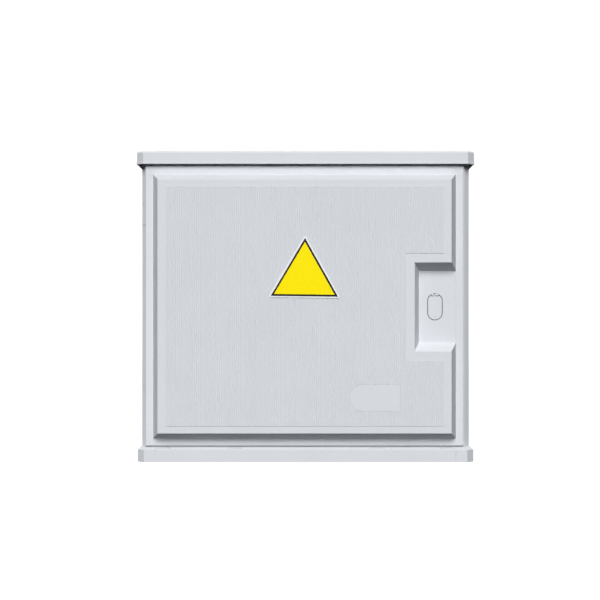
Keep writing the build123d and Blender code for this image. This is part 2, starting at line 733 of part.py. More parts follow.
def recess_cutter(grow):
    """What the lock recess takes out of the raised part, larger all round by the wall for its back."""
    side = RECESS_SIDE_BEVEL / DOOR_RAISE
    slope = RECESS_BEVEL / DOOR_RAISE
    deep = y_recess + (y_inner - y_recess if grow else 0.0)
    front = y_panel - 5.0
    run = y_recess - front
    side_grow = grow * math.hypot(1, side)
    slope_grow = grow * math.hypot(1, slope)
    back_run = deep - y_recess
    left_deep = recess_left - side_grow + side * back_run
    left_front = recess_left - side_grow - side * run
    right = door_right + 30.0
    low_deep = recess_low - slope_grow + slope * back_run
    low_front = recess_low - slope_grow - slope * run
    high_deep = recess_high + slope_grow - slope * back_run
    high_front = recess_high + slope_grow + slope * run
    deep_corners = [(left_deep, deep, low_deep), (right, deep, low_deep), (right, deep, high_deep)]
    deep_corners += [(left_deep, deep, high_deep)]
    front_corners = [(left_front, front, low_front), (right, front, low_front), (right, front, high_front)]
    front_corners += [(left_front, front, high_front)]
    return frustum(deep_corners, front_corners)


def round_panel(solid):
    """Rounds the edges of the raised face; an edge that can't take the radius stays sharp."""
    edges = [edge for edge in solid.edges() if abs(edge.center().Y - y_panel) < 0.01]
    return fillet(edges, PANEL_ROUND)


def ridged_field():
    """Upright ridges over the field, left out round the lock recess and under the bare pad."""
    flank = (RIDGE_PITCH - RIDGE_CREST - RIDGE_ROOT) / 2
    count = int((field_right - field_left - RIDGE_ROOT) / RIDGE_PITCH)
    start = (field_left + field_right - count * RIDGE_PITCH) / 2
    y_root = y_panel - FIELD_STEP
    points = [(field_left, y_panel + 1), (field_left, y_root)]
    for index in range(count):
        x = start + index * RIDGE_PITCH + RIDGE_ROOT / 2
        points += [(x, y_root), (x + flank, y_crest), (x + flank + RIDGE_CREST, y_crest)]
        points += [(x + 2 * flank + RIDGE_CREST, y_root)]
    points += [(field_right, y_root), (field_right, y_panel + 1)]
    comb = prism_z(points, (field_low, field_high))
    edge_x = recess_left - RECESS_SIDE_BEVEL - RECESS_FRAME
    edge_z = (recess_low - RECESS_BEVEL - RECESS_FRAME, recess_high + RECESS_BEVEL + RECESS_FRAME)
    comb = comb - block((edge_x, field_right + 1), (y_crest - 1, y_panel + 2), edge_z)
    return comb - pad_shape(PAD_MARGIN, (y_crest - 1, y_root))


def pad_shape(margin, y):
    """The bare pad's outline, half-round on the left."""
    right = field_right - PAD_FROM_RIGHT
    z = field_low + PAD_FROM_BOTTOM + PAD_HEIGHT / 2
    radius = PAD_HEIGHT / 2 + margin
    centre = right - PAD_WIDTH + PAD_HEIGHT / 2
    plate = block((centre, right + margin), y, around(z, radius))
    return plate + shaft((centre, y[0], z), (centre, y[1], z), radius)


def back_ribs():
    """Stiffening ribs behind the raised panel, upright and level, clear of the lock."""
    y_rib = (y_panel + 1, y_panel + DOOR_WALL + RIB_HEIGHT)
    column_half = (recess_left - foot_left) / 2
    middle = (recess_left + foot_left) / 2
    ribs = [block(around(middle + x, RIB_WIDTH / 2), y_rib, (foot_low, foot_high))
            for x in spread(RIB_COLUMNS, column_half)]
    ribs += [block((foot_left, recess_left - RECESS_FRAME), y_rib, around(door_z + rise, RIB_WIDTH / 2))
             for rise in (-RIB_ROW_RISE, RIB_ROW_RISE)]
    inside = raised_panel(1.0)
    return [rib & inside for rib in ribs]


def lug(z):
    """The moulded hinge lug, flush with the body's corner while the door is shut."""
    z_range = around(z, LUG_HEIGHT / 2)
    solid = shaft((pivot_x, pivot_y, z_range[0]), (pivot_x, pivot_y, z_range[1]), LUG_RADIUS)
    solid = solid & prism_z(body_outline(), z_range)
    far_x = pivot_x + 2 * LUG_RADIUS
    far_y = around(pivot_y, 2 * LUG_RADIUS)
    solid = solid - block((pivot_x + LUG_HALF_WIDTH, far_x), far_y, z_range)
    solid = solid - block((pivot_x - LUG_HALF_WIDTH, far_x), (pivot_y + KNUCKLE_RADIUS, far_y[1]), z_range)
    foot = block((door_left, pivot_x + LUG_HALF_WIDTH), (y_inner - 1, y_front + 1), z_range)
    foot = foot & (prism_z(body_outline(), z_range) + block((door_left, 0), (y_inner - 1, y_front), z_range))
    solid = solid + foot
    return solid - pin_bore(z_range[0] - 1, z_range[1] + 1)


def pin_bore(low, high):
    """The hinge pin's running bore between two heights."""
    return shaft((pivot_x, pivot_y, low), (pivot_x, pivot_y, high), PIN_RADIUS + RUN_FIT)


def make_door():
    flange = block((door_left, door_right), (y_flange, y_inner), (door_low, door_high))
    front_edges = [edge for edge in flange.edges() if abs(edge.center().Y - y_flange) < 0.01]
    solid = fillet(front_edges, DOOR_ROUND) + raised_panel(0.0)
    solid = round_panel(solid - recess_cutter(0.0))
    floor = block((recess_left, foot_right), (y_recess, y_inner), (recess_low, recess_high))
    solid = solid + floor
    hollow = raised_panel(DOOR_WALL) - recess_cutter(DOOR_WALL)
    solid = solid - hollow
    solid = join(solid, back_ribs())
    solid = solid + ridged_field()
    solid = solid + pad_shape(0.0, (y_panel - FIELD_STEP - PAD_STEP, y_panel + 1))
    tab_z = (door_high - 1, door_high + TAB_HEIGHT)
    solid = solid + block(around(TAB_X, TAB_WIDTH / 2), (y_flange + DOOR_ROUND, y_inner), tab_z)
    solid = join(solid, [lug(z) for z in hinge_heights.values()])
    solid = flap_seat(solid)
    return cut(solid, door_screw_holes())


def flap_axis_z():
    return lock_z + FLAP_HEIGHT / 2 - FLAP_FLAT


def flap_seat(solid):
    """Cuts the stadium opening for the cover and adds the two hinge ears at its top."""
    width = FLAP_WIDTH + 2 * FLAP_GAP
    opening = stadium(lock_x, lock_z, width, FLAP_HEIGHT + 2 * FLAP_GAP, (y_recess - 2, y_inner + 1))
    axis_z = flap_axis_z()
    above_z = (axis_z + FLAP_GAP, axis_z + FLAP_WIDTH)
    solid = solid - (opening - block(around(lock_x, FLAP_WIDTH), (y_recess - 3, y_inner + 2), above_z))
    half_knuckle = FLAP_KNUCKLE_WIDTH / 2 + FLAP_GAP / 2
    slot_z = (axis_z, axis_z + FLAP_KNUCKLE_RADIUS + FLAP_GAP)
    slot = block(around(lock_x, half_knuckle), (y_recess - 3, y_inner + 1), slot_z)
    solid = solid - slot
    for side in (-1, 1):
        x_pair = sorted((lock_x + side * half_knuckle, lock_x + side * (half_knuckle + FLAP_EAR_WIDTH)))
        ear = shaft((x_pair[0], y_recess, axis_z), (x_pair[1], y_recess, axis_z), FLAP_KNUCKLE_RADIUS)
        root_z = (axis_z, axis_z + 3 * FLAP_KNUCKLE_RADIUS)
        ear = ear + block(x_pair, (y_recess, y_recess + FLAP_KNUCKLE_RADIUS), root_z)
        solid = solid + ear - flap_pin(x_pair[0] - 1, x_pair[1] + 1, FLAP_PIN_RADIUS + RUN_FIT)
    return solid


def flap_pin(low, high, radius):
    """A shaft on the flap's axis between two x values."""
    return shaft((low, y_recess, flap_axis_z()), (high, y_recess, flap_axis_z()), radius)


def make_lock_flap():
    y_range = (y_recess, y_recess + FLAP_THICKNESS)
    solid = stadium(lock_x, lock_z, FLAP_WIDTH, FLAP_HEIGHT, y_range)
    axis_z = flap_axis_z()
    solid = solid - block(around(lock_x, FLAP_WIDTH), (y_recess - 1, y_inner), (axis_z, axis_z + FLAP_WIDTH))
    half_ear = FLAP_KNUCKLE_WIDTH / 2 + FLAP_EAR_WIDTH + FLAP_GAP
    relief = FLAP_KNUCKLE_RADIUS + FLAP_GAP
    solid = solid - flap_pin(lock_x - half_ear, lock_x + half_ear, relief)
    ends = around(lock_x, FLAP_KNUCKLE_WIDTH / 2)
    knuckle = flap_pin(ends[0], ends[1], FLAP_KNUCKLE_RADIUS)
    knuckle = knuckle + block(ends, y_range, (axis_z - 2 * relief, axis_z - SLIDE_FIT))
    solid = solid + knuckle - flap_pin(ends[0] - 1, ends[1] + 1, FLAP_PIN_RADIUS + RUN_FIT)
    width, depth, height = FLAP_NOTCH
    notch_z = lock_z - FLAP_HEIGHT / 2 + FLAP_NOTCH_RISE
    notch_y = (y_recess - 1, y_recess + depth)
    return solid - block(around(lock_x, width / 2), notch_y, around(notch_z, height / 2))


def make_flap_pin():
    half = FLAP_KNUCKLE_WIDTH / 2 + FLAP_GAP / 2 + FLAP_EAR_WIDTH
    return flap_pin(lock_x - half, lock_x + half, FLAP_PIN_RADIUS)


def door_screw_holes():
    """Blind holes in the door's back for the lock housing and the rod guides."""
    places = [(x, y_inner + 1, z) for x, z in ear_places()]
    places += [(x, y_panel + DOOR_WALL + 1, z) for x, z in guide_screw_places()]
    return holes(places, (0, -1, 0), DOOR_BORE + 1, M4[0] + THREAD_FIT)


def ear_places():
    rise = HOUSING_HALF_HEIGHT + EAR / 2
    return [(lock_x, lock_z - rise), (lock_x, lock_z + rise)]


def guide_screw_places():
    shift = (GUIDE_HEIGHT / 2 + GUIDE_FOOT) / 2
    places = []
    for x, z in zip(rod_xs.values(), guide_heights):
        places += [(x, z - shift), (x, z + shift)]
    return places


def triangle(side, y):
    """An upright triangle about the plate's centre, turned as the plate is."""
    radius = side / math.sqrt(3)
    centre_z = door_z + SIGN_RISE
    points = []
    for angle in (90, 210, 330):
        turned = math.radians(angle + SIGN_TURN)
        points.append((door_x + radius * math.cos(turned), centre_z + radius * math.sin(turned)))
    return prism_y(points, y)


def make_sign():
    """The plate, its dark border and its plain field, one layer on the next."""
    grow = 2 * math.sqrt(3)
    fronts = [y_crest - SIGN_PLATE - index * SIGN_FILM for index in range(3)]
    backing = triangle(SIGN_SIDE + grow * SIGN_MARGIN, (y_crest, fronts[0]))
    upright = [edge for edge in backing.edges() if abs((edge @ 0 - edge @ 1).Y) > SIGN_PLATE / 2]
    backing = fillet(upright, SIGN_MARGIN)
    border = triangle(SIGN_SIDE, (fronts[0], fronts[1]))
    field = triangle(SIGN_SIDE - grow * SIGN_BORDER, (fronts[1], fronts[2]))
    return {"sign_backing": backing, "sign_border": border, "sign_field": field}


def make_door_gasket():
    inset = DOOR_FLANGE + DOOR_WALL * (math.sqrt(2) - 1) - SEAM
    left = door_left + inset
    right = door_right - inset
    low = door_low + inset
    high = door_high - inset - DOOR_FLANGE_TOP + DOOR_FLANGE
    outer_x = (left - GASKET_WIDTH, right + GASKET_WIDTH)
    outer = block(outer_x, (y_inner, y_front), (low - GASKET_WIDTH, high + GASKET_WIDTH))
    return outer - block((left, right), (y_inner - 1, y_front + 1), (low, high))


def make_hinge_bracket(z):
    half = bracket_half()
    x_plate = (pivot_x, pivot_x + BRACKET_THICKNESS)
    solid = block(x_plate, (pivot_y + BRACKET_START, pivot_y + BRACKET_LENGTH), around(z, half))
    for side in (-1, 1):
        near = z + side * (LUG_HEIGHT / 2 + SEAM)
        far = z + side * half
        z_range = sorted((near, far))
        solid = solid + block(x_plate, (pivot_y, pivot_y + BRACKET_START + 1), z_range)
        solid = solid + shaft((pivot_x, pivot_y, z_range[0]), (pivot_x, pivot_y, z_range[1]), KNUCKLE_RADIUS)
    solid = solid - pin_bore(z - half - 1, z + half + 1)
    places = [(pivot_x - 1, y, height) for y, height in bracket_screw_places(z)]
    return cut(solid, holes(places, (1, 0, 0), BRACKET_THICKNESS + 2, M5[0] + HOLE_FIT))


def make_hinge_pin(z):
    half = bracket_half()
    pin = shaft((pivot_x, pivot_y, z - half - PIN_TAIL), (pivot_x, pivot_y, z + half), PIN_RADIUS)
    return pin + shaft((pivot_x, pivot_y, z + half), (pivot_x, pivot_y, z + half + PIN_HEAD), KNUCKLE_RADIUS)


def make_hinge_screws():
    x = pivot_x + BRACKET_THICKNESS
    places = [(x, y, height) for z in hinge_heights.values() for y, height in bracket_screw_places(z)]
    return screws(places, (-1, 0, 0), M5, WALL_PAD + WALL)


def involute_flank(base_radius, outer_radius, steps):
    """Points of one tooth flank from the base circle to the tip, as (radius, angle) pairs."""
    flank = []
    for step in range(steps + 1):
        radius = base_radius + (outer_radius - base_radius) * step / steps
        roll = math.sqrt((radius / base_radius) ** 2 - 1)
        flank.append((radius, roll - math.atan(roll)))
    return flank


def pinion(y):
    """The barrel's gear, with a tooth pointing to each rack."""
    pressure = math.radians(PRESSURE_ANGLE)
    base_radius = pitch_radius * math.cos(pressure)
    tip_radius = pitch_radius + GEAR_MODULE
    root_radius = pitch_radius - DEDENDUM * GEAR_MODULE
    flank = involute_flank(base_radius, tip_radius, 5)
    half_tooth = math.pi / 2 / GEAR_TEETH - BACKLASH / 2 / pitch_radius + math.tan(pressure) - pressure
    points = []
    for tooth in range(GEAR_TEETH):
        centre = 2 * math.pi * tooth / GEAR_TEETH
        rising = [(root_radius, centre - half_tooth)]
        rising += [(radius, centre - half_tooth + angle) for radius, angle in flank]
        falling = [(radius, centre + half_tooth - angle) for radius, angle in flank[::-1]]
        falling += [(root_radius, centre + half_tooth)]
        points += rising + falling
    flat = [(lock_x + radius * math.cos(angle), lock_z + radius * math.sin(angle))
            for radius, angle in points]
    return prism_y(flat, y)


def barrel_shaft(low, high, radius):
    """A shaft on the barrel's axis between two y values."""
    return shaft((lock_x, low, lock_z), (lock_x, high, lock_z), radius)


def make_lock_barrel():
    y_nose = y_inner - BARREL_PROUD
    solid = barrel_shaft(y_nose, gear_y[0], BARREL_RADIUS) + pinion(gear_y)
    solid = solid + barrel_shaft(y_housing_face + SLIDE_FIT, gear_y[0], BARREL_RADIUS + BARREL_FLANGE)
    solid = solid + barrel_shaft(gear_y[1], y_cover[0] - SLIDE_FIT, BARREL_RADIUS)
    solid = solid + barrel_shaft(gear_y[1], y_cam[0], BARREL_TAIL)
    half_square = BARREL_SQUARE / 2
    solid = solid + block(around(lock_x, half_square), (y_cam[0] - 1, y_cam[1]), around(lock_z, half_square))
    slot_y = (y_nose - 1, y_nose + KEY_SLOT_DEPTH)
    slot = block(around(lock_x, KEY_SLOT[0] / 2), slot_y, around(lock_z, KEY_SLOT[1] / 2))
    solid = solid - slot - barrel_shaft(slot_y[0], slot_y[1], KEY_HOLE_RADIUS)
    return solid - barrel_shaft(y_cam[1] - CAM_SCREW_LENGTH, y_cam[1] + 1, M5[0] + THREAD_FIT)


def make_lock_cam():
    half = CAM_HALF_WIDTH
    solid = block(around(lock_x, half), y_cam, (lock_z, lock_z + CAM_REACH))
    tip_edges = [edge for edge in solid.edges() if edge.center().Z > lock_z + CAM_REACH - 0.01]
    tip_edges = [edge for edge in tip_edges if abs((edge @ 0 - edge @ 1).Y) > 1]
    solid = fillet(tip_edges, half - 1)
    solid = solid + barrel_shaft(y_cam[0], y_cam[1], CAM_HUB_RADIUS)
    side = BARREL_SQUARE / 2 + THREAD_FIT
    return solid - block(around(lock_x, side), (y_cam[0] - 1, y_cam[1] + 1), around(lock_z, side))


def make_cam_screw():
    y_seat = y_cam[1] + CAM_WASHER
    washer = barrel_shaft(y_cam[1], y_seat, CAM_HALF_WIDTH)
    return washer + screw((lock_x, y_seat, lock_z), (0, -1, 0), M5, CAM_SCREW_LENGTH)


def make_rod(side):
    """One rack with its round rod; the lower one is the upper one turned half round the barrel's axis."""
    tooth_depth_out = GEAR_MODULE
    tooth_depth_in = DEDENDUM * GEAR_MODULE
    pitch = math.pi * GEAR_MODULE
    lean = math.tan(math.radians(PRESSURE_ANGLE))
    half_gap = pitch / 4 + BACKLASH / 4
    x_pitch = -pitch_radius
    x_root = x_pitch - tooth_depth_in
    x_tip = x_pitch + tooth_depth_out
    x_back = x_root - RACK_BACK
    travel = pitch_radius * math.pi / 2
    low = -travel - pitch * 2
    high = pitch * 2.5
    points = [(x_back, low), (x_root, low)]
    first = math.ceil(low / pitch - 0.5) + 1
    last = math.floor(high / pitch - 0.5) - 1
    for index in range(first, last + 1):
        centre = (index + 0.5) * pitch
        half_tooth = pitch / 2 - half_gap
        root_half = half_tooth + tooth_depth_in * lean
        tip_half = half_tooth - tooth_depth_out * lean
        points += [(x_root, centre - root_half), (x_tip, centre - tip_half)]
        points += [(x_tip, centre + tip_half), (x_root, centre + root_half)]
    z_rack_end = HOUSING_HALF_HEIGHT - HOUSING_WALL - travel - RACK_SPARE
    points += [(x_root, z_rack_end), (x_back, z_rack_end)]
    sign = 1 if side == "upper" else -1
    turned = [(lock_x + sign * x, lock_z + sign * z) for x, z in points]
    solid = prism_y(turned, gear_y)
    z_end = z_rail - ROD_CLEAR if side == "upper" else z_sill + ROD_CLEAR
    start = (rod_xs[side], rod_y, lock_z + sign * (pitch_radius + GEAR_MODULE + ROD_ROOT))
    end = Vector(rod_xs[side], rod_y, z_end)
    rod = shaft(start, end, ROD_RADIUS)
    tip = [edge for edge in rod.edges() if is_rim(edge, end, ROD_RADIUS)]
    return solid + rod.chamfer(ROD_TIP_CHAMFER, None, tip)


def make_lock_housing():
    x_range = around(lock_x, HOUSING_HALF_WIDTH)
    z_range = around(lock_z, HOUSING_HALF_HEIGHT)
    solid = block(x_range, (y_inner, y_cover[0]), z_range)
    inside_x = around(lock_x, HOUSING_HALF_WIDTH - HOUSING_WALL)
    inside_z = around(lock_z, HOUSING_HALF_HEIGHT - HOUSING_WALL)
    solid = solid - block(inside_x, (y_housing_face, y_cover[0] + 1), inside_z)
    for x, z in cover_screw_places():
        solid = solid + block(around(x, POST / 2), (y_inner, y_cover[0]), around(z, POST / 2))
    ear_z = around(lock_z, HOUSING_HALF_HEIGHT + EAR)
    solid = solid + block(around(lock_x, EAR / 2), (y_inner, y_housing_face), ear_z)
    ears = [(x, y_inner - 1, z) for x, z in ear_places()]
    solid = cut(solid, holes(ears, (0, 1, 0), HOUSING_FACE + 2, M4[0] + HOLE_FIT))
    posts = [(x, y_cover[0] + 1, z) for x, z in cover_screw_places()]
    solid = cut(solid, holes(posts, (0, -1, 0), COVER_BORE + 1, M4[0] + THREAD_FIT))
    solid = solid - barrel_shaft(y_inner - 1, y_housing_face + 1, BARREL_RADIUS + RUN_FIT)
    for side, direction in (("upper", 1), ("lower", -1)):
        start = (rod_xs[side], rod_y, lock_z + direction * (HOUSING_HALF_HEIGHT - HOUSING_WALL - 1))
        solid = cut(solid, holes([start], (0, 0, direction), HOUSING_WALL + 2, ROD_RADIUS + SLIDE_FIT))
    return solid


def cover_screw_places():
    x_shift = HOUSING_HALF_WIDTH - POST / 2
    z_shift = HOUSING_HALF_HEIGHT - POST / 2
    return [(lock_x + i * x_shift, lock_z + j * z_shift) for i in (-1, 1) for j in (-1, 1)]


def make_lock_cover():
    solid = block(around(lock_x, HOUSING_HALF_WIDTH), y_cover, around(lock_z, HOUSING_HALF_HEIGHT))
    solid = solid - barrel_shaft(y_cover[0] - 1, y_cover[1] + 1, BARREL_TAIL + RUN_FIT)
    places = [(x, y_cover[0] - 1, z) for x, z in cover_screw_places()]
    return cut(solid, holes(places, (0, 1, 0), COVER_THICKNESS + 2, M4[0] + HOLE_FIT))


def make_lock_screws():
    solids = [screw((x, y_cover[1], z), (0, -1, 0), M4, COVER_SCREW_LENGTH) for x, z in cover_screw_places()]
    ear_length = HOUSING_FACE + DOOR_SCREW_BITE
    solids += [screw((x, y_housing_face, z), (0, -1, 0), M4, ear_length) for x, z in ear_places()]
    return Compound(solids)


def make_rod_guides():
    solids = []
    y_seat = y_panel + DOOR_WALL
    y_end = rod_y + ROD_RADIUS + GUIDE_WALL
    for x, z in zip(rod_xs.values(), guide_heights):
        z_range = around(z, GUIDE_HEIGHT / 2)
        solid = block(around(x, GUIDE_HALF_WIDTH), (y_seat, y_end), z_range)
        foot_y = (y_seat, y_seat + GUIDE_FOOT_THICKNESS)
        solid = solid + block(around(x, GUIDE_HALF_WIDTH), foot_y, around(z, GUIDE_FOOT))
        bore_ends = [(x, rod_y, z + sign * GUIDE_HEIGHT) for sign in (-1, 1)]
        solid = solid - shaft(*bore_ends, ROD_RADIUS + SLIDE_FIT)
        places = [(place[0], y_seat - 1, place[1]) for place in guide_screw_places() if place[0] == x]
        solids.append(cut(solid, holes(places, (0, 1, 0), GUIDE_FOOT_THICKNESS + 2, M4[0] + HOLE_FIT)))
    return Compound(solids)


def make_guide_screws():
    y = y_panel + DOOR_WALL + GUIDE_FOOT_THICKNESS
    places = [(x, y, z) for x, z in guide_screw_places()]
    return screws(places, (0, -1, 0), M4, GUIDE_FOOT_THICKNESS + DOOR_SCREW_BITE)


def make_keeper(side):
    """A steel plate behind a lip, with the rod's hole."""
    low = z_rail + WALL if side == "upper" else z_sill - WALL - KEEPER_THICKNESS
    y_range = (y_front + WALL + KEEPER_EDGE, y_front + WALL + SILL_LIP - KEEPER_EDGE)
    solid = block(around(rod_xs[side], KEEPER_LENGTH / 2), y_range, (low, low + KEEPER_THICKNESS))
    return cut(solid, keeper_holes(side, low - 1, KEEPER_THICKNESS + 2))


def make_keeper_side():
    x_pad = half_width - WALL - WALL_PAD
    leg = block((x_pad - SIDE_KEEPER_THICKNESS, x_pad), (y_keeper[0], y_keeper[0] + SIDE_KEEPER_LENGTH),
                around(lock_z, SIDE_KEEPER_HEIGHT / 2))
    leg = leg + block((x_pad - SIDE_KEEPER_REACH, x_pad), y_keeper, around(lock_z, SIDE_KEEPER_HEIGHT / 2))
    places = [(x_pad + 1, y, z) for y, z in side_keeper_places()]
    return cut(leg, holes(places, (-1, 0, 0), SIDE_KEEPER_THICKNESS + 2, M5[0] + HOLE_FIT))


def make_keeper_screws():
    """Two screws for each rod keeper, run through the lip into the plate."""
    solids = []
    length = WALL + KEEPER_THICKNESS + KEEPER_SCREW_TAIL
    for shift in (-KEEPER_BOLT_SPACING / 2, KEEPER_BOLT_SPACING / 2):
        solids.append(screw((rod_xs["upper"] + shift, rod_y, z_rail), (0, 0, 1), M4, length))
        solids.append(screw((rod_xs["lower"] + shift, rod_y, z_sill), (0, 0, -1), M4, length))
    return Compound(solids)


def make_side_keeper_screws():
    x = half_width - WALL - WALL_PAD - SIDE_KEEPER_THICKNESS
    return screws([(x, y, z) for y, z in side_keeper_places()], (1, 0, 0), M5, WALL_PAD + WALL)


def make_gland_plate():
    solid = block(around(0, gland_half), gland_y, (z_floor, z_floor + GLAND_THICKNESS))
    centre_y = (gland_y[0] + gland_y[1]) / 2
    grommets = [(x, centre_y, z_floor - 1) for x in spread(GROMMET_COUNT, gland_half)]
    solid = cut(solid, holes(grommets, (0, 0, 1), GLAND_THICKNESS + 2, GROMMET_RADIUS))
    places = [(x, y, z_floor - 1) for x, y in gland_places]
    return cut(solid, holes(places, (0, 0, 1), GLAND_THICKNESS + 2, M5[0] + HOLE_FIT))


def make_cable_grommets():
    centre_y = (gland_y[0] + gland_y[1]) / 2
    z_plate = z_floor + GLAND_THICKNESS
    z_low = z_floor - GROMMET_FLANGE
    z_neck = z_plate + GROMMET_NECK
    inner = GROMMET_RADIUS - GROMMET_WALL
    lip = GROMMET_RADIUS + GROMMET_LIP
    solids = []
    for x in spread(GROMMET_COUNT, gland_half):
        solid = shaft((x, centre_y, z_low), (x, centre_y, z_neck), GROMMET_RADIUS - SLIDE_FIT / 2)
        solid = solid + shaft((x, centre_y, z_plate), (x, centre_y, z_plate + GROMMET_FLANGE), lip)
        solid = solid + shaft((x, centre_y, z_low), (x, centre_y, z_floor), lip)
        hollow = shaft((x, centre_y, z_low + GROMMET_MEMBRANE), (x, centre_y, z_neck + 1), inner)
        solids.append(solid - hollow)
    return Compound(solids)


def make_mounting_plate():
    solid = block(around(0, PLATE_WIDTH / 2), y_plate, around(plate_z, PLATE_HEIGHT / 2))
    places = [(x, y_plate[0] - 1, z) for x, z in standoff_places]
    solid = cut(solid, holes(places, (0, 1, 0), PLATE_THICKNESS + 2, M6[0] + HOLE_FIT))
    places = [(x, y_plate[0] - 1, z) for x, z in rail_screw_places() + earth_fixing_places()]
    return cut(solid, holes(places, (0, 1, 0), PLATE_THICKNESS + 2, M4[0] + THREAD_FIT))


def make_plate_standoffs():
    solids = []
    for x, z in standoff_places:
        post = shaft((x, y_plate[1], z), (x, y_panel_in, z), STANDOFF_RADIUS)
        solids.append(post - shaft((x, y_plate[1] - 1, z), (x, y_panel_in + 1, z), M6[0] + HOLE_FIT))
    return Compound(solids)


def rail_rises():
    return [plate_z + rise for rise in DIN_RISES + (CABLE_RAIL_RISE,)]


def rail_screw_places():
    shift = RAIL_LENGTH / 2 - RAIL_SCREW_INSET
    return [(side * shift, z) for z in rail_rises() for side in (-1, 1)]


def make_din_rail(z):
    """A top-hat rail, its web against the plate and its flanges forward."""
    half = DIN_HEIGHT / 2
    half_base = DIN_BASE / 2
    y_web = y_plate[0]
    y_lip = y_web - DIN_DEPTH + DIN_SHEET
    path = [(y_lip, z - half), (y_lip, z - half_base), (y_web, z - half_base)]
    path += [(y_web, z + half_base), (y_lip, z + half_base), (y_lip, z + half)]
    solid = prism_x(bent_strip(path, DIN_SHEET), around(0, RAIL_LENGTH / 2))
    return cut(solid, rail_bores(z, DIN_SHEET))


def rail_bores(z, sheet):
    places = [(x, y_plate[0] + 1, height) for x, height in rail_screw_places() if height == z]
    return holes(places, (0, -1, 0), sheet + 2, M4[0] + HOLE_FIT)


def make_cable_rail(z):
    """A channel whose open side faces the door, for cable clamps."""
    half = CABLE_RAIL_HEIGHT / 2
    y_web = y_plate[0]
    y_lip = y_web - CABLE_RAIL_DEPTH
    path = [(y_lip, z - half + CABLE_RAIL_LIP), (y_lip, z - half), (y_web, z - half), (y_web, z + half)]
    path += [(y_lip, z + half), (y_lip, z + half - CABLE_RAIL_LIP)]
    solid = prism_x(bent_strip(path, CABLE_RAIL_SHEET), around(0, RAIL_LENGTH / 2))
    return cut(solid, rail_bores(z, CABLE_RAIL_SHEET))


def make_rail_screws():
    solids = []
    for x, z in rail_screw_places():
        sheet = CABLE_RAIL_SHEET if z == rail_rises()[2] else DIN_SHEET
        length = sheet + PLATE_THICKNESS + PLATE_SCREW_TAIL
        solids.append(screw((x, y_plate[0] - sheet, z), (0, 1, 0), M4, length))
    return Compound(solids)


def earth_fixing_places():
    z = plate_z + EARTH_RISE
    return [(EARTH_X + side * (EARTH_LENGTH / 2 - EARTH_SCREW_INSET), z) for side in (-1, 1)]


def make_earth_bar():
    z = plate_z + EARTH_RISE
    y_range = (y_plate[0] - EARTH_DEPTH, y_plate[0])
    solid = block(around(EARTH_X, EARTH_LENGTH / 2), y_range, around(z, EARTH_HEIGHT / 2))
    places = [(x, y_plate[0] + 1, height) for x, height in earth_fixing_places()]
    solid = cut(solid, holes(places, (0, -1, 0), EARTH_DEPTH + 2, M4[0] + HOLE_FIT))
    y_wire = y_plate[0] - EARTH_DEPTH / 2
    for x in earth_clamp_places():
        solid = solid - shaft((x, y_wire, z - EARTH_HEIGHT), (x, y_wire, z + 1), EARTH_WIRE_RADIUS)
        solid = solid - shaft((x, y_plate[0] - EARTH_DEPTH - 1, z), (x, y_wire, z), M4[0] + THREAD_FIT)
    return solid


def earth_clamp_places():
    return [EARTH_X + x for x in spread(EARTH_SCREWS, EARTH_LENGTH / 2 - EARTH_CLAMP_INSET)]


def make_earth_screws():
    """Two screws that hold the bar and the clamp screws over its wire holes."""
    y_face = y_plate[0] - EARTH_DEPTH
    length = EARTH_DEPTH + PLATE_THICKNESS + PLATE_SCREW_TAIL
    solids = [screw((x, y_face, z), (0, 1, 0), M4, length) for x, z in earth_fixing_places()]
    for x in earth_clamp_places():
        solids.append(screw((x, y_face - SEAM, plate_z + EARTH_RISE), (0, 1, 0), M4, EARTH_DEPTH / 2))
    return Compound(solids)


def make_back_screws():
    """Countersunk screws through the rear flanges and the back wall."""
    solids = []
    for x, z in rear_places:
        solids.append(rear_head(x, z) + back_shank(x, z, y_back - 1, M5[0]))
    return Compound(solids)


def back_shank(x, z, y, radius):
    """A shaft from a depth to the inner end of a rear screw."""
    return shaft((x, y, z), (x, y_panel_in - BACK_SCREW_TAIL, z), radius)


def make_back_nuts():
    solids = []
    for x, z in rear_places:
        plane = Plane(origin=(x, y_panel_in, z), z_dir=(0, -1, 0))
        nut = extrude(plane * RegularPolygon(NUT_RADIUS, 6), NUT_HEIGHT)
        solids.append(nut - back_shank(x, z, y_panel_in + 1, M5[0] + THREAD_FIT))
    return Compound(solids)


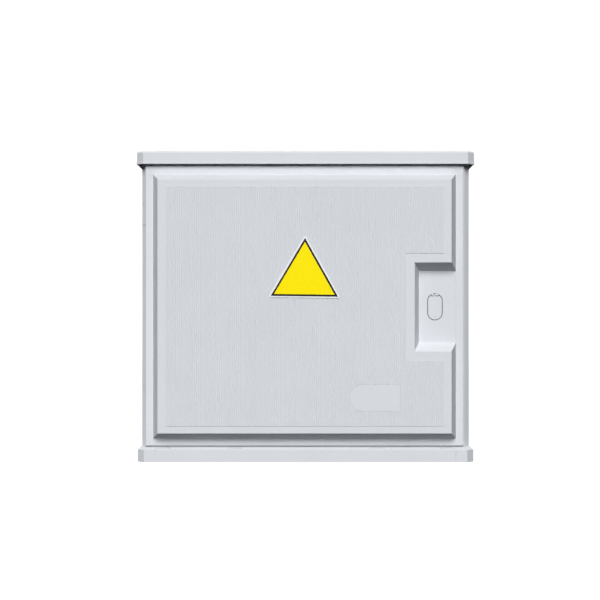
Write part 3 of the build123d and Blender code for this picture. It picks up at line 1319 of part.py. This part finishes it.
def make_parts():
    length = WALL + SHELL_SCREW_BITE
    base_places = [(x, y, z_floor + WALL) for x, y in seat_places]
    roof_places = [(x, y, z_top - WALL) for x, y in seat_places + rail_places]
    gland = [(x, y, z_floor + GLAND_THICKNESS) for x, y in gland_places]
    plate = [(x, y_plate[0], z) for x, z in standoff_places]
    rises = rail_rises()
    parts = {
        "base_frame": make_base_frame(),
        "left_wall": make_left_wall(),
        "right_wall": make_right_wall(),
        "back_wall": make_back_wall(),
        "front_top_rail": make_front_top_rail(),
        "roof": make_roof(),
        "base_screws": screws(base_places, (0, 0, -1), M6, length),
        "roof_screws": screws(roof_places, (0, 0, 1), M6, length),
        "back_screws": make_back_screws(),
        "back_nuts": make_back_nuts(),
        "gland_plate": make_gland_plate(),
        "cable_grommets": make_cable_grommets(),
        "gland_screws": screws(gland, (0, 0, -1), M5, GLAND_THICKNESS + GLAND_SCREW_BITE),
        "mounting_plate": make_mounting_plate(),
        "plate_standoffs": make_plate_standoffs(),
        "plate_screws": screws(plate, (0, 1, 0), M6, PLATE_THICKNESS + STANDOFF_LENGTH + STANDOFF_SCREW_BITE),
        "din_rail_lower": make_din_rail(rises[0]),
        "din_rail_upper": make_din_rail(rises[1]),
        "cable_rail": make_cable_rail(rises[2]),
        "rail_screws": make_rail_screws(),
        "earth_bar": make_earth_bar(),
        "earth_screws": make_earth_screws(),
        "hinge_screws": make_hinge_screws(),
        "keeper_upper": make_keeper("upper"),
        "keeper_lower": make_keeper("lower"),
        "keeper_side": make_keeper_side(),
        "keeper_screws": make_keeper_screws(),
        "side_keeper_screws": make_side_keeper_screws(),
        "door": make_door(),
        "door_gasket": make_door_gasket(),
        "lock_flap": make_lock_flap(),
        "flap_pin": make_flap_pin(),
        "lock_housing": make_lock_housing(),
        "lock_cover": make_lock_cover(),
        "lock_screws": make_lock_screws(),
        "lock_barrel": make_lock_barrel(),
        "lock_cam": make_lock_cam(),
        "cam_screw": make_cam_screw(),
        "rod_upper": make_rod("upper"),
        "rod_lower": make_rod("lower"),
        "rod_guides": make_rod_guides(),
        "guide_screws": make_guide_screws(),
    }
    for name, z in hinge_heights.items():
        parts["hinge_bracket_" + name] = make_hinge_bracket(z)
        parts["hinge_pin_" + name] = make_hinge_pin(z)
    parts.update(make_sign())
    return parts


def main():
    os.makedirs("parts", exist_ok=True)
    for name, solid in make_parts().items():
        export_step(solid, "parts/" + name + ".step")
        print(name, round(solid.volume / 1000, 1), "cm3")
    places = (pivot_x, pivot_y, lock_x, rod_y, lock_z)
    print("pivot x y, lock x y z:", *(round(place, 3) for place in places))


main()
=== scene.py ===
import bpy
import math
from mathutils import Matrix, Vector


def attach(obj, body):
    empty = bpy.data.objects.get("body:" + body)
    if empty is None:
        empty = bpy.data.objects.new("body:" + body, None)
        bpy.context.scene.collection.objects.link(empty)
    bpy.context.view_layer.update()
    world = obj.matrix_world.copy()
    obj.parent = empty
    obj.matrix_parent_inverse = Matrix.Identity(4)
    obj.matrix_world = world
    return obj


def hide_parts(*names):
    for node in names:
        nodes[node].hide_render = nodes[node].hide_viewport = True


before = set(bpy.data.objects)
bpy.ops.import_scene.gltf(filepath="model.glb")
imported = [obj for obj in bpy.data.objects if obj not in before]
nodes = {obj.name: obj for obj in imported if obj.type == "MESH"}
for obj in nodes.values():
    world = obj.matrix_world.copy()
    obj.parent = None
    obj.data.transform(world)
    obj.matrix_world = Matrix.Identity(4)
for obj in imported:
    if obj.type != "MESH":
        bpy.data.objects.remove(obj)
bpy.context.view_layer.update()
bpy.ops.object.select_all(action="DESELECT")
print("frame loaded with", len(nodes), "nodes")

# all colours are linear red, green, blue
shellLook = {
    "colour": (0.665, 0.685, 0.718),
    "shade": (0.622, 0.643, 0.680),
    "rough": 0.62,
    "specular": 0.06,
    "grainScale": 1500.0,
    "grainDepth": 0.00002,
    "edgeRadius": 0.0006,
    "contrast": 0.5,
    "dust": 0.10,
    "dustColour": (0.56, 0.53, 0.48, 1),
}
metalLooks = {
    "zincSteel": {"colour": (0.60, 0.62, 0.64), "shade": (0.52, 0.54, 0.56), "rough": 0.34,
                  "stretch": (1, 1, 40)},
    "stainless": {"colour": (0.66, 0.65, 0.63), "shade": (0.52, 0.51, 0.50), "rough": 0.26,
                  "stretch": (8, 8, 1)},
    "nickel": {"colour": (0.72, 0.69, 0.63), "shade": (0.60, 0.57, 0.52), "rough": 0.20,
               "stretch": (1, 6, 1)},
    "brass": {"colour": (0.80, 0.58, 0.25), "shade": (0.60, 0.42, 0.18), "rough": 0.28,
              "stretch": (1, 30, 30)},
}
drawnFinish = {"scale": 60.0, "edgeRadius": 0.0003, "depth": 0.00002}
softLooks = {
    "blackRubber": {"colour": (0.028, 0.028, 0.030), "shade": (0.050, 0.050, 0.052), "rough": 0.72,
                    "specular": 0.5, "grain": 900.0},
    "blackNylon": {"colour": (0.035, 0.036, 0.039), "shade": (0.055, 0.056, 0.060), "rough": 0.50,
                   "specular": 0.5, "grain": 1600.0},
    "dieCast": {"colour": (0.055, 0.058, 0.062), "shade": (0.085, 0.088, 0.092), "rough": 0.55,
                "specular": 0.5, "grain": 2200.0},
    "signWhite": {"colour": (0.84, 0.85, 0.87), "shade": (0.80, 0.81, 0.83), "rough": 0.42,
                  "specular": 0.1, "grain": 500.0},
    "signBlack": {"colour": (0.010, 0.010, 0.011), "shade": (0.016, 0.016, 0.018), "rough": 0.42,
                  "specular": 0.1, "grain": 500.0},
    "signYellow": {"colour": (0.96, 0.79, 0.0), "shade": (0.93, 0.75, 0.0), "rough": 0.42,
                   "specular": 0.1, "grain": 500.0},
}
softFinish = {"contrast": 0.8, "edgeRadius": 0.0003, "depth": 0.00003}


def addNode(tree, kind, settings=None, **inputs):
    node = tree.nodes.new(kind)
    for key, value in (settings or {}).items():
        setattr(node, key, value)
    for key, value in inputs.items():
        node.inputs[key.replace("_", " ")].default_value = value
    return node


def join(tree, source, target):
    tree.links.new(source, target)


def newGroup(name, inputs, outputs):
    tree = bpy.data.node_groups.new(name, "ShaderNodeTree")
    for label, value in inputs.items():
        kind = "NodeSocketVector" if isinstance(value, tuple) else "NodeSocketFloat"
        tree.interface.new_socket(label, in_out="INPUT", socket_type=kind).default_value = value
    for label in outputs:
        tree.interface.new_socket(label, in_out="OUTPUT", socket_type="NodeSocketFloat")
    return tree, tree.nodes.new("NodeGroupInput"), tree.nodes.new("NodeGroupOutput")


# fine pebbled skin of a moulded part, and the slow change of tone over it
grainTree, grainIn, grainOut = newGroup("mouldGrain", {"Scale": 1500.0, "Contrast": 0.5}, ["Height", "Tone"])
place = addNode(grainTree, "ShaderNodeTexCoord")
pebbles = addNode(grainTree, "ShaderNodeTexNoise", Detail=3.0, Roughness=0.55)
join(grainTree, place.outputs["Object"], pebbles.inputs["Vector"])
join(grainTree, grainIn.outputs["Scale"], pebbles.inputs["Scale"])
flow = addNode(grainTree, "ShaderNodeTexNoise", Scale=7.0, Detail=4.0, Roughness=0.6)
join(grainTree, place.outputs["Object"], flow.inputs["Vector"])
specks = addNode(grainTree, "ShaderNodeTexNoise", Scale=160.0, Detail=2.0, Roughness=0.5)
join(grainTree, place.outputs["Object"], specks.inputs["Vector"])
blendTone = addNode(grainTree, "ShaderNodeMath", {"operation": "ADD"})
join(grainTree, flow.outputs["Fac"], blendTone.inputs[0])
join(grainTree, specks.outputs["Fac"], blendTone.inputs[1])
toneRange = addNode(grainTree, "ShaderNodeMapRange", From_Min=0.75, From_Max=1.25, To_Min=0.0, To_Max=1.0)
join(grainTree, blendTone.outputs["Value"], toneRange.inputs["Value"])
toneAmount = addNode(grainTree, "ShaderNodeMath", {"operation": "MULTIPLY"})
join(grainTree, toneRange.outputs["Result"], toneAmount.inputs[0])
join(grainTree, grainIn.outputs["Contrast"], toneAmount.inputs[1])
join(grainTree, pebbles.outputs["Fac"], grainOut.inputs["Height"])
join(grainTree, toneAmount.outputs["Value"], grainOut.inputs["Tone"])

# dust that settles where a face looks up, broken up by noise
dustTree, dustIn, dustOut = newGroup("settledDust", {"Amount": 0.1}, ["Mask"])
dustPlace = addNode(dustTree, "ShaderNodeTexCoord")
faceUp = addNode(dustTree, "ShaderNodeSeparateXYZ")
join(dustTree, dustPlace.outputs["Normal"], faceUp.inputs["Vector"])
upRange = addNode(dustTree, "ShaderNodeMapRange", From_Min=0.3, From_Max=1.0, To_Min=0.0, To_Max=1.0)
join(dustTree, faceUp.outputs["Z"], upRange.inputs["Value"])
dustNoise = addNode(dustTree, "ShaderNodeTexNoise", Scale=35.0, Detail=6.0, Roughness=0.7)
join(dustTree, dustPlace.outputs["Object"], dustNoise.inputs["Vector"])
dustSpread = addNode(dustTree, "ShaderNodeMath", {"operation": "MULTIPLY"})
join(dustTree, upRange.outputs["Result"], dustSpread.inputs[0])
join(dustTree, dustNoise.outputs["Fac"], dustSpread.inputs[1])
dustMask = addNode(dustTree, "ShaderNodeMath", {"operation": "MULTIPLY", "use_clamp": True})
join(dustTree, dustSpread.outputs["Value"], dustMask.inputs[0])
join(dustTree, dustIn.outputs["Amount"], dustMask.inputs[1])
join(dustTree, dustMask.outputs["Value"], dustOut.inputs["Mask"])

# fine lines left by rolling or turning, with a patchy spangle tone
brushInputs = {"Scale": drawnFinish["scale"], "Vector": (0.0, 0.0, 0.0)}
brushTree, brushIn, brushOut = newGroup("drawnLines", brushInputs, ["Lines", "Tone"])
lines = addNode(brushTree, "ShaderNodeTexNoise", Detail=4.0, Roughness=0.6)
join(brushTree, brushIn.outputs["Vector"], lines.inputs["Vector"])
join(brushTree, brushIn.outputs["Scale"], lines.inputs["Scale"])
spangle = addNode(brushTree, "ShaderNodeTexVoronoi", Scale=55.0)
spanglePlace = addNode(brushTree, "ShaderNodeTexCoord")
join(brushTree, spanglePlace.outputs["Object"], spangle.inputs["Vector"])
spangleTone = addNode(brushTree, "ShaderNodeSeparateColor")
join(brushTree, spangle.outputs["Color"], spangleTone.inputs["Color"])
join(brushTree, lines.outputs["Fac"], brushOut.inputs["Lines"])
join(brushTree, spangleTone.outputs["Red"], brushOut.inputs["Tone"])


def startMaterial(name, rough, metallic, specular=0.5):
    material = bpy.data.materials.new(name)
    material.use_nodes = True
    tree = material.node_tree
    shader = tree.nodes["Principled BSDF"]
    shader.inputs["Roughness"].default_value = rough
    shader.inputs["Metallic"].default_value = metallic
    shader.inputs["Specular IOR Level"].default_value = specular
    return material, tree, shader


def groupNode(tree, groupTree, **inputs):
    node = tree.nodes.new("ShaderNodeGroup")
    node.node_tree = groupTree
    for key, value in inputs.items():
        node.inputs[key].default_value = value
    return node


def twoTone(tree, look, factor):
    mix = addNode(tree, "ShaderNodeMix", {"data_type": "RGBA"})
    mix.inputs[6].default_value = (*look["colour"], 1)
    mix.inputs[7].default_value = (*look["shade"], 1)
    join(tree, factor, mix.inputs["Factor"])
    return mix.outputs[2]


def softEdges(tree, shader, radius, height, depth):
    edge = addNode(tree, "ShaderNodeBevel", {"samples": 4}, Radius=radius)
    bump = addNode(tree, "ShaderNodeBump", Strength=1.0, Distance=depth)
    join(tree, edge.outputs["Normal"], bump.inputs["Normal"])
    join(tree, height, bump.inputs["Height"])
    join(tree, bump.outputs["Normal"], shader.inputs["Normal"])


def varyRough(tree, shader, pattern, low, high):
    spread = addNode(tree, "ShaderNodeMapRange", From_Min=0.3, From_Max=0.7, To_Min=low, To_Max=high)
    join(tree, pattern, spread.inputs["Value"])
    join(tree, spread.outputs["Result"], shader.inputs["Roughness"])


def makeShell(name, look):
    material, tree, shader = startMaterial(name, look["rough"], 0.0, look["specular"])
    grain = groupNode(tree, grainTree, Scale=look["grainScale"], Contrast=look["contrast"])
    dust = groupNode(tree, dustTree, Amount=look["dust"])
    colour = twoTone(tree, look, grain.outputs["Tone"])
    dusty = addNode(tree, "ShaderNodeMix", {"data_type": "RGBA"})
    join(tree, dust.outputs["Mask"], dusty.inputs["Factor"])
    join(tree, colour, dusty.inputs[6])
    dusty.inputs[7].default_value = look["dustColour"]
    join(tree, dusty.outputs[2], shader.inputs["Base Color"])
    varyRough(tree, shader, grain.outputs["Height"], look["rough"] - 0.06, look["rough"] + 0.08)
    softEdges(tree, shader, look["edgeRadius"], grain.outputs["Height"], look["grainDepth"])
    return material


def makeMetal(name, look):
    material, tree, shader = startMaterial(name, look["rough"], 1.0)
    coords = addNode(tree, "ShaderNodeTexCoord")
    turn = addNode(tree, "ShaderNodeMapping")
    turn.inputs["Scale"].default_value = look["stretch"]
    join(tree, coords.outputs["Object"], turn.inputs["Vector"])
    drawn = groupNode(tree, brushTree, Scale=drawnFinish["scale"])
    join(tree, turn.outputs["Vector"], drawn.inputs["Vector"])
    join(tree, twoTone(tree, look, drawn.outputs["Tone"]), shader.inputs["Base Color"])
    varyRough(tree, shader, drawn.outputs["Lines"], look["rough"] - 0.08, look["rough"] + 0.14)
    softEdges(tree, shader, drawnFinish["edgeRadius"], drawn.outputs["Lines"], drawnFinish["depth"])
    return material


def makeSoft(name, look):
    material, tree, shader = startMaterial(name, look["rough"], 0.0, look["specular"])
    grain = groupNode(tree, grainTree, Scale=look["grain"], Contrast=softFinish["contrast"])
    join(tree, twoTone(tree, look, grain.outputs["Tone"]), shader.inputs["Base Color"])
    varyRough(tree, shader, grain.outputs["Height"], look["rough"] - 0.05, look["rough"] + 0.07)
    softEdges(tree, shader, softFinish["edgeRadius"], grain.outputs["Height"], softFinish["depth"])
    return material


materials = {"shellPlastic": makeShell("shellPlastic", shellLook)}
for name, look in metalLooks.items():
    materials[name] = makeMetal(name, look)
for name, look in softLooks.items():
    materials[name] = makeSoft(name, look)
print("materials made:", len(materials))

# which finish each carried-over node wears
finishes = {
    "shellPlastic": ["base_frame", "left_wall", "right_wall", "back_wall", "front_top_rail", "roof", "door",
                     "lock_flap"],
    "zincSteel": ["gland_plate", "mounting_plate", "din_rail_upper", "din_rail_lower", "cable_rail",
                  "hinge_bracket_upper", "hinge_bracket_lower", "keeper_upper", "keeper_lower", "keeper_side",
                  "lock_cam", "rod_upper", "rod_lower"],
    "stainless": ["base_screws", "roof_screws", "back_screws", "back_nuts", "gland_screws", "plate_screws",
                  "rail_screws", "earth_screws", "hinge_screws", "hinge_pin_upper", "hinge_pin_lower",
                  "keeper_screws", "side_keeper_screws", "lock_screws", "guide_screws", "cam_screw",
                  "flap_pin"],
    "nickel": ["lock_barrel"],
    "brass": ["earth_bar"],
    "dieCast": ["lock_housing", "lock_cover"],
    "blackNylon": ["rod_guides", "plate_standoffs"],
    "blackRubber": ["door_gasket", "cable_grommets"],
    "signWhite": ["sign_backing"],
    "signBlack": ["sign_border"],
    "signYellow": ["sign_field"],
}


def wear(obj, finish):
    obj.data.materials.clear()
    obj.data.materials.append(materials[finish])


for finish, names in finishes.items():
    for name in names:
        wear(nodes[name], finish)
print("nodes dressed:", sum(len(names) for names in finishes.values()))


weldDistance = 0.00001
nearby = 0.0001  # how close a place has to be to count as the same


def pickAlone(obj):
    bpy.ops.object.select_all(action="DESELECT")
    obj.select_set(True)
    bpy.context.view_layer.objects.active = obj


def startEditing(obj):
    pickAlone(obj)
    bpy.ops.object.mode_set(mode="EDIT")


def pickVertices(obj, test):
    bpy.ops.object.mode_set(mode="OBJECT")
    for part in (obj.data.polygons, obj.data.edges):
        for item in part:
            item.select = False
    for vertex in obj.data.vertices:
        vertex.select = test(vertex.co)
    bpy.ops.object.mode_set(mode="EDIT")
    bpy.ops.mesh.select_mode(type="VERT")


def pickFaces(obj, test):
    bpy.ops.object.mode_set(mode="EDIT")
    bpy.ops.mesh.select_mode(type="FACE")
    bpy.ops.mesh.select_all(action="DESELECT")
    bpy.ops.object.mode_set(mode="OBJECT")
    for face in obj.data.polygons:
        face.select = test(face)
    bpy.ops.object.mode_set(mode="EDIT")


def drawLine(name, points):
    bpy.ops.object.select_all(action="DESELECT")
    bpy.ops.mesh.primitive_plane_add(size=0.01, location=(0, 0, 0))
    obj = bpy.context.object
    obj.name = name
    bpy.ops.object.mode_set(mode="EDIT")
    bpy.ops.mesh.select_mode(type="VERT")
    bpy.ops.mesh.select_all(action="SELECT")
    bpy.ops.mesh.merge(type="CENTER")
    bpy.ops.transform.translate(value=points[0])
    for before, after in zip(points, points[1:]):
        step = [high - low for low, high in zip(before, after)]
        bpy.ops.mesh.extrude_region_move(TRANSFORM_OT_translate={"value": step})
    return obj


def closeMesh(obj):
    bpy.ops.mesh.select_all(action="SELECT")
    bpy.ops.mesh.remove_doubles(threshold=weldDistance)
    bpy.ops.mesh.normals_make_consistent(inside=False)
    bpy.ops.object.mode_set(mode="OBJECT")


def applyModifier(obj, kind, **values):
    modifier = obj.modifiers.new(kind.lower(), kind)
    for key, value in values.items():
        setattr(modifier, key, value)
    pickAlone(obj)
    bpy.ops.object.modifier_apply(modifier=modifier.name)


def smoothByAngle(obj, degrees):
    pickAlone(obj)
    bpy.ops.object.shade_smooth_by_angle(angle=math.radians(degrees))


def copyShifted(obj, name, shift):
    twin = obj.copy()
    twin.data = obj.data.copy()
    twin.name = name
    bpy.context.scene.collection.objects.link(twin)
    startEditing(twin)
    bpy.ops.mesh.select_all(action="SELECT")
    bpy.ops.transform.translate(value=shift)
    bpy.ops.object.mode_set(mode="OBJECT")
    return twin


def nodeBox(name):
    corners = [nodes[name].matrix_world @ Vector(corner) for corner in nodes[name].bound_box]
    return [Vector([pick(corner[axis] for corner in corners) for axis in range(3)]) for pick in (min, max)]


def putOn(obj, body, finish, slot, *replaced):
    wear(obj, finish)
    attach(obj, body)
    if replaced:
        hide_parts(*replaced)


# cable grommets: a turned profile with a ribbed membrane, copied along the gland plate
grommetSizes = {
    "count": 4,
    "flange": 0.003,
    "plate": 0.003,
    "lip": 0.026,
    "neck": 0.0219,
    "wall": 0.0034,
    "round": 0.0008,
    "membrane": 0.0014,
    "ribs": 4,
    "ribPitch": 0.0038,
    "ribWidth": 0.0010,
    "ribHeight": 0.0008,
    "steps": 72,
}


def grommetProfile(sizes, low, high):
    lip, neck, soft = sizes["lip"], sizes["neck"], sizes["round"]
    line = [(0.0, low), (lip - soft, low), (lip, low + soft)]
    for top in (low + sizes["flange"], low + 2 * sizes["flange"] + sizes["plate"]):
        line += [(lip, top - soft), (lip - soft, top), (neck, top)]
        if top < low + 2 * sizes["flange"]:
            under = top + sizes["plate"]
            line += [(neck, under), (lip - soft, under), (lip, under + soft)]
    inner = neck - sizes["wall"]
    bottom = low + sizes["membrane"]
    line += [(neck, high - soft), (neck - soft, high), (inner + soft, high), (inner, high - soft)]
    line += [(inner, bottom + soft), (inner - soft, bottom)]
    for index in range(sizes["ribs"]):
        edge = inner - (index + 1) * sizes["ribPitch"]
        crest = bottom + sizes["ribHeight"]
        slope = sizes["ribHeight"] / 2
        line += [(edge + slope, bottom), (edge, crest), (edge - sizes["ribWidth"], crest)]
        line += [(edge - sizes["ribWidth"] - slope, bottom)]
    return line + [(0.0, bottom)]


def makeGrommets(sizes):
    low, high = nodeBox("cable_grommets")
    firstX = low.x + sizes["lip"]
    middleY = (low.y + high.y) / 2
    points = [(firstX + radius, middleY, z) for radius, z in grommetProfile(sizes, low.z, high.z)]
    grommet = drawLine("grommet1", points)
    bpy.ops.mesh.select_all(action="SELECT")
    bpy.ops.mesh.spin(steps=sizes["steps"], angle=2 * math.pi, center=(firstX, middleY, 0), axis=(0, 0, 1))
    closeMesh(grommet)
    smoothByAngle(grommet, 40)
    spacing = (high.x - low.x - 2 * sizes["lip"]) / (sizes["count"] - 1)
    row = [grommet]
    for index in range(1, sizes["count"]):
        row.append(copyShifted(grommet, "grommet" + str(index + 1), (index * spacing, 0, 0)))
    return row


for index, grommet in enumerate(makeGrommets(grommetSizes)):
    putOn(grommet, "cabinet", "blackRubber", "black_rubber", *(["cable_grommets"] if index == 0 else []))
print("grommets made")

# top-hat rails: a folded strip with a row of slots, one for each carried-over rail
railSizes = {
    "sheet": 0.001,
    "base": 0.027,
    "foldRound": 0.0009,
    "slotLength": 0.015,
    "slotRadius": 0.0031,
    "slotPitch": 0.024,
    "slotCount": 16,
    "cutDepth": 0.02,
}


def pickFolds(rail, corners):
    bpy.ops.object.mode_set(mode="EDIT")
    bpy.ops.mesh.select_mode(type="EDGE")
    bpy.ops.mesh.select_all(action="DESELECT")
    bpy.ops.object.mode_set(mode="OBJECT")
    for edge in rail.data.edges:
        ends = [rail.data.vertices[index].co for index in edge.vertices]
        onCorner = [abs(ends[0].y - y) + abs(ends[0].z - z) < nearby for y, z in corners]
        edge.select = abs(ends[0].x - ends[1].x) > 0.1 and any(onCorner)
    bpy.ops.object.mode_set(mode="EDIT")


def makeRail(sizes, source):
    low, high = nodeBox(source)
    middleZ = (low.z + high.z) / 2
    lipY = low.y + sizes["sheet"]
    halfBase = sizes["base"] / 2
    profile = [(lipY, low.z), (lipY, middleZ - halfBase), (high.y, middleZ - halfBase)]
    profile += [(high.y, middleZ + halfBase), (lipY, middleZ + halfBase), (lipY, high.z)]
    rail = drawLine(source + "Slotted", [(low.x, y, z) for y, z in profile])
    bpy.ops.mesh.select_all(action="SELECT")
    bpy.ops.mesh.extrude_region_move(TRANSFORM_OT_translate={"value": (high.x - low.x, 0, 0)})
    bpy.ops.object.mode_set(mode="OBJECT")
    pickFolds(rail, profile[1:-1])
    bpy.ops.mesh.bevel(offset=sizes["foldRound"], segments=3, affect="EDGES")
    bpy.ops.mesh.select_all(action="SELECT")
    bpy.ops.mesh.normals_make_consistent(inside=False)
    bpy.ops.object.mode_set(mode="OBJECT")
    web = min(rail.data.polygons, key=lambda face: abs(face.center.z - middleZ) + abs(face.center.y - high.y))
    outward = 1.0 if web.normal.y < 0 else -1.0
    applyModifier(rail, "SOLIDIFY", thickness=sizes["sheet"], offset=outward, use_even_offset=True)
    cutter = makeSlotCutter(sizes, high.y, middleZ)
    applyModifier(rail, "BOOLEAN", object=cutter, operation="DIFFERENCE")
    bpy.data.objects.remove(cutter)
    startEditing(rail)
    closeMesh(rail)
    smoothByAngle(rail, 35)
    return rail


def makeSlotCutter(sizes, webY, middleZ):
    bpy.ops.object.select_all(action="DESELECT")
    bpy.ops.mesh.primitive_cylinder_add(vertices=32, radius=sizes["slotRadius"], depth=sizes["cutDepth"],
                                        location=(0, 0, 0))
    cutter = bpy.context.object
    reach = (sizes["slotLength"] - 2 * sizes["slotRadius"]) / 2
    for side in (-1, 1):
        pickVertices(cutter, lambda place: place.x * side > weldDistance)
        bpy.ops.transform.translate(value=(side * reach, 0, 0))
    bpy.ops.mesh.select_all(action="SELECT")
    bpy.ops.transform.rotate(value=math.pi / 2, orient_axis="X", center_override=(0, 0, 0))
    firstX = -sizes["slotPitch"] * (sizes["slotCount"] - 1) / 2
    bpy.ops.transform.translate(value=(firstX, webY, middleZ))
    bpy.ops.object.mode_set(mode="OBJECT")
    applyModifier(cutter, "ARRAY", count=sizes["slotCount"], use_relative_offset=False,
                  use_constant_offset=True, constant_offset_displace=(sizes["slotPitch"], 0, 0))
    return cutter


for source in ("din_rail_lower", "din_rail_upper"):
    putOn(makeRail(railSizes, source), "cabinet", "zincSteel", "zinc_steel", source)
print("slotted rails made")

# door gasket: a flat rubber ring with a groove along its sealing face
gasketSizes = {
    "width": 0.006,
    "margin": 0.0019,
    "groove": 0.0005,
    "round": 0.00045,
}


def makeGasket(sizes):
    low, high = nodeBox("door_gasket")
    bpy.ops.object.select_all(action="DESELECT")
    bpy.ops.mesh.primitive_plane_add(size=1, location=(0, 0, 0))
    gasket = bpy.context.object
    gasket.name = "grooveGasket"
    bpy.ops.object.mode_set(mode="EDIT")
    bpy.ops.mesh.select_all(action="SELECT")
    bpy.ops.transform.rotate(value=math.pi / 2, orient_axis="X", center_override=(0, 0, 0))
    bpy.ops.transform.resize(value=(high.x - low.x, 1, high.z - low.z), center_override=(0, 0, 0))
    bpy.ops.transform.translate(value=((low.x + high.x) / 2, low.y, (low.z + high.z) / 2))
    bpy.ops.mesh.select_mode(type="FACE")
    bpy.ops.mesh.inset(thickness=sizes["width"])
    bpy.ops.mesh.delete(type="FACE")
    bpy.ops.mesh.select_all(action="SELECT")
    bpy.ops.mesh.extrude_region_move(TRANSFORM_OT_translate={"value": (0, high.y - low.y, 0)})
    closeMesh(gasket)
    pickFaces(gasket, lambda face: face.center.y > high.y - nearby)
    bpy.ops.mesh.inset(thickness=sizes["margin"])
    bpy.ops.transform.translate(value=(0, -sizes["groove"], 0))
    closeMesh(gasket)
    applyModifier(gasket, "BEVEL", width=sizes["round"], segments=3, limit_method="ANGLE", angle_limit=0.6)
    smoothByAngle(gasket, 40)
    return gasket


putOn(makeGasket(gasketSizes), "door", "blackRubber", "black_rubber", "door_gasket")
print("gasket made")

# floor and light
stageSizes = {
    "floorWidth": 9.0,
    "floorFront": 5.5,
    "floorBack": 4.5,
    "wallHeight": 1.0,
    "cornerRadius": 0.8,
    "seen": (0.80, 0.80, 0.80),
    "bounced": (0.04, 0.04, 0.04),
    "glow": 0.50,
}
lamps = {
    "key": {"from": (-0.05, -1.0, 0.70), "spread": 34.0, "strength": 3.8},
    "backLeft": {"from": (-0.52, 0.90, 0.32), "spread": 16.0, "strength": 1.1},
    "backRight": {"from": (0.52, 0.90, 0.32), "spread": 16.0, "strength": 1.1},
}
worldLevels = {"light": 0.02, "seen": 1.05}


def makeFloor(sizes):
    bpy.ops.object.select_all(action="DESELECT")
    bpy.ops.mesh.primitive_plane_add(size=1, location=(0, 0, 0))
    floor = bpy.context.object
    floor.name = "paleFloor"
    bpy.ops.object.mode_set(mode="EDIT")
    depth = sizes["floorFront"] + sizes["floorBack"]
    bpy.ops.transform.resize(value=(sizes["floorWidth"], depth, 1), center_override=(0, 0, 0))
    bpy.ops.transform.translate(value=(0, sizes["floorBack"] - depth / 2, 0))
    pickVertices(floor, lambda place: place.y > sizes["floorBack"] - 0.01)
    bpy.ops.mesh.extrude_region_move(TRANSFORM_OT_translate={"value": (0, 0, sizes["wallHeight"])})
    bpy.ops.object.mode_set(mode="OBJECT")
    applyModifier(floor, "BEVEL", width=sizes["cornerRadius"], segments=12)
    bpy.ops.object.shade_smooth()
    return floor


def whiteLevel(tree, low, high):
    rays = addNode(tree, "ShaderNodeLightPath")
    seen = addNode(tree, "ShaderNodeMath", {"operation": "MAXIMUM"})
    join(tree, rays.outputs["Is Camera Ray"], seen.inputs[0])
    join(tree, rays.outputs["Is Glossy Ray"], seen.inputs[1])
    seenAll = addNode(tree, "ShaderNodeMath", {"operation": "MAXIMUM"})
    join(tree, seen.outputs["Value"], seenAll.inputs[0])
    join(tree, rays.outputs["Is Transmission Ray"], seenAll.inputs[1])
    level = addNode(tree, "ShaderNodeMapRange", From_Min=0.0, From_Max=1.0, To_Min=low, To_Max=high)
    join(tree, seenAll.outputs["Value"], level.inputs["Value"])
    return seenAll.outputs["Value"], level.outputs["Result"]


def paleMaterial(sizes):
    material = bpy.data.materials.new("paleGround")
    material.use_nodes = True
    tree = material.node_tree
    tree.nodes.remove(tree.nodes["Principled BSDF"])
    seen, level = whiteLevel(tree, 0.0, sizes["glow"])
    shade = addNode(tree, "ShaderNodeMix", {"data_type": "RGBA"})
    shade.inputs[6].default_value = (*sizes["bounced"], 1)
    shade.inputs[7].default_value = (*sizes["seen"], 1)
    join(tree, seen, shade.inputs["Factor"])
    matte = addNode(tree, "ShaderNodeBsdfDiffuse")
    join(tree, shade.outputs[2], matte.inputs["Color"])
    glow = addNode(tree, "ShaderNodeEmission")
    join(tree, level, glow.inputs["Strength"])
    both = addNode(tree, "ShaderNodeAddShader")
    join(tree, matte.outputs["BSDF"], both.inputs[0])
    join(tree, glow.outputs["Emission"], both.inputs[1])
    join(tree, both.outputs["Shader"], tree.nodes["Material Output"].inputs["Surface"])
    return material


floor = makeFloor(stageSizes)
floor.data.materials.append(paleMaterial(stageSizes))
bpy.ops.object.select_all(action="DESELECT")

# one broad light from the front, and two behind that keep the sides and back plain to see
for name, lamp in lamps.items():
    data = bpy.data.lights.new(name, "SUN")
    data.energy = lamp["strength"]
    data.angle = math.radians(lamp["spread"])
    light = bpy.data.objects.new(name, data)
    light.rotation_euler = Vector(lamp["from"]).to_track_quat("Z", "Y").to_euler()
    bpy.context.scene.collection.objects.link(light)

world = bpy.data.worlds.new("softRoom")
world.use_nodes = True
room = world.node_tree.nodes["Background"]
room.inputs["Color"].default_value = (1, 1, 1, 1)
worldLevel = whiteLevel(world.node_tree, worldLevels["light"], worldLevels["seen"])[1]
join(world.node_tree, worldLevel, room.inputs["Strength"])
bpy.context.scene.world = world

# camera, straight on, a little left of the middle as in the photograph
cameraPlace = {"at": (-0.0108, -2.904, 0.316), "lens": 85.7, "sensor": 36.0}
cameraData = bpy.data.cameras.new("photoCamera")
cameraData.lens = cameraPlace["lens"]
cameraData.sensor_width = cameraPlace["sensor"]
camera = bpy.data.objects.new("photoCamera", cameraData)
camera.location = cameraPlace["at"]
camera.rotation_euler = (math.radians(90), 0, 0)
bpy.context.scene.collection.objects.link(camera)
bpy.context.scene.camera = camera
bpy.context.scene.view_settings.view_transform = "Standard"
print("stage set")
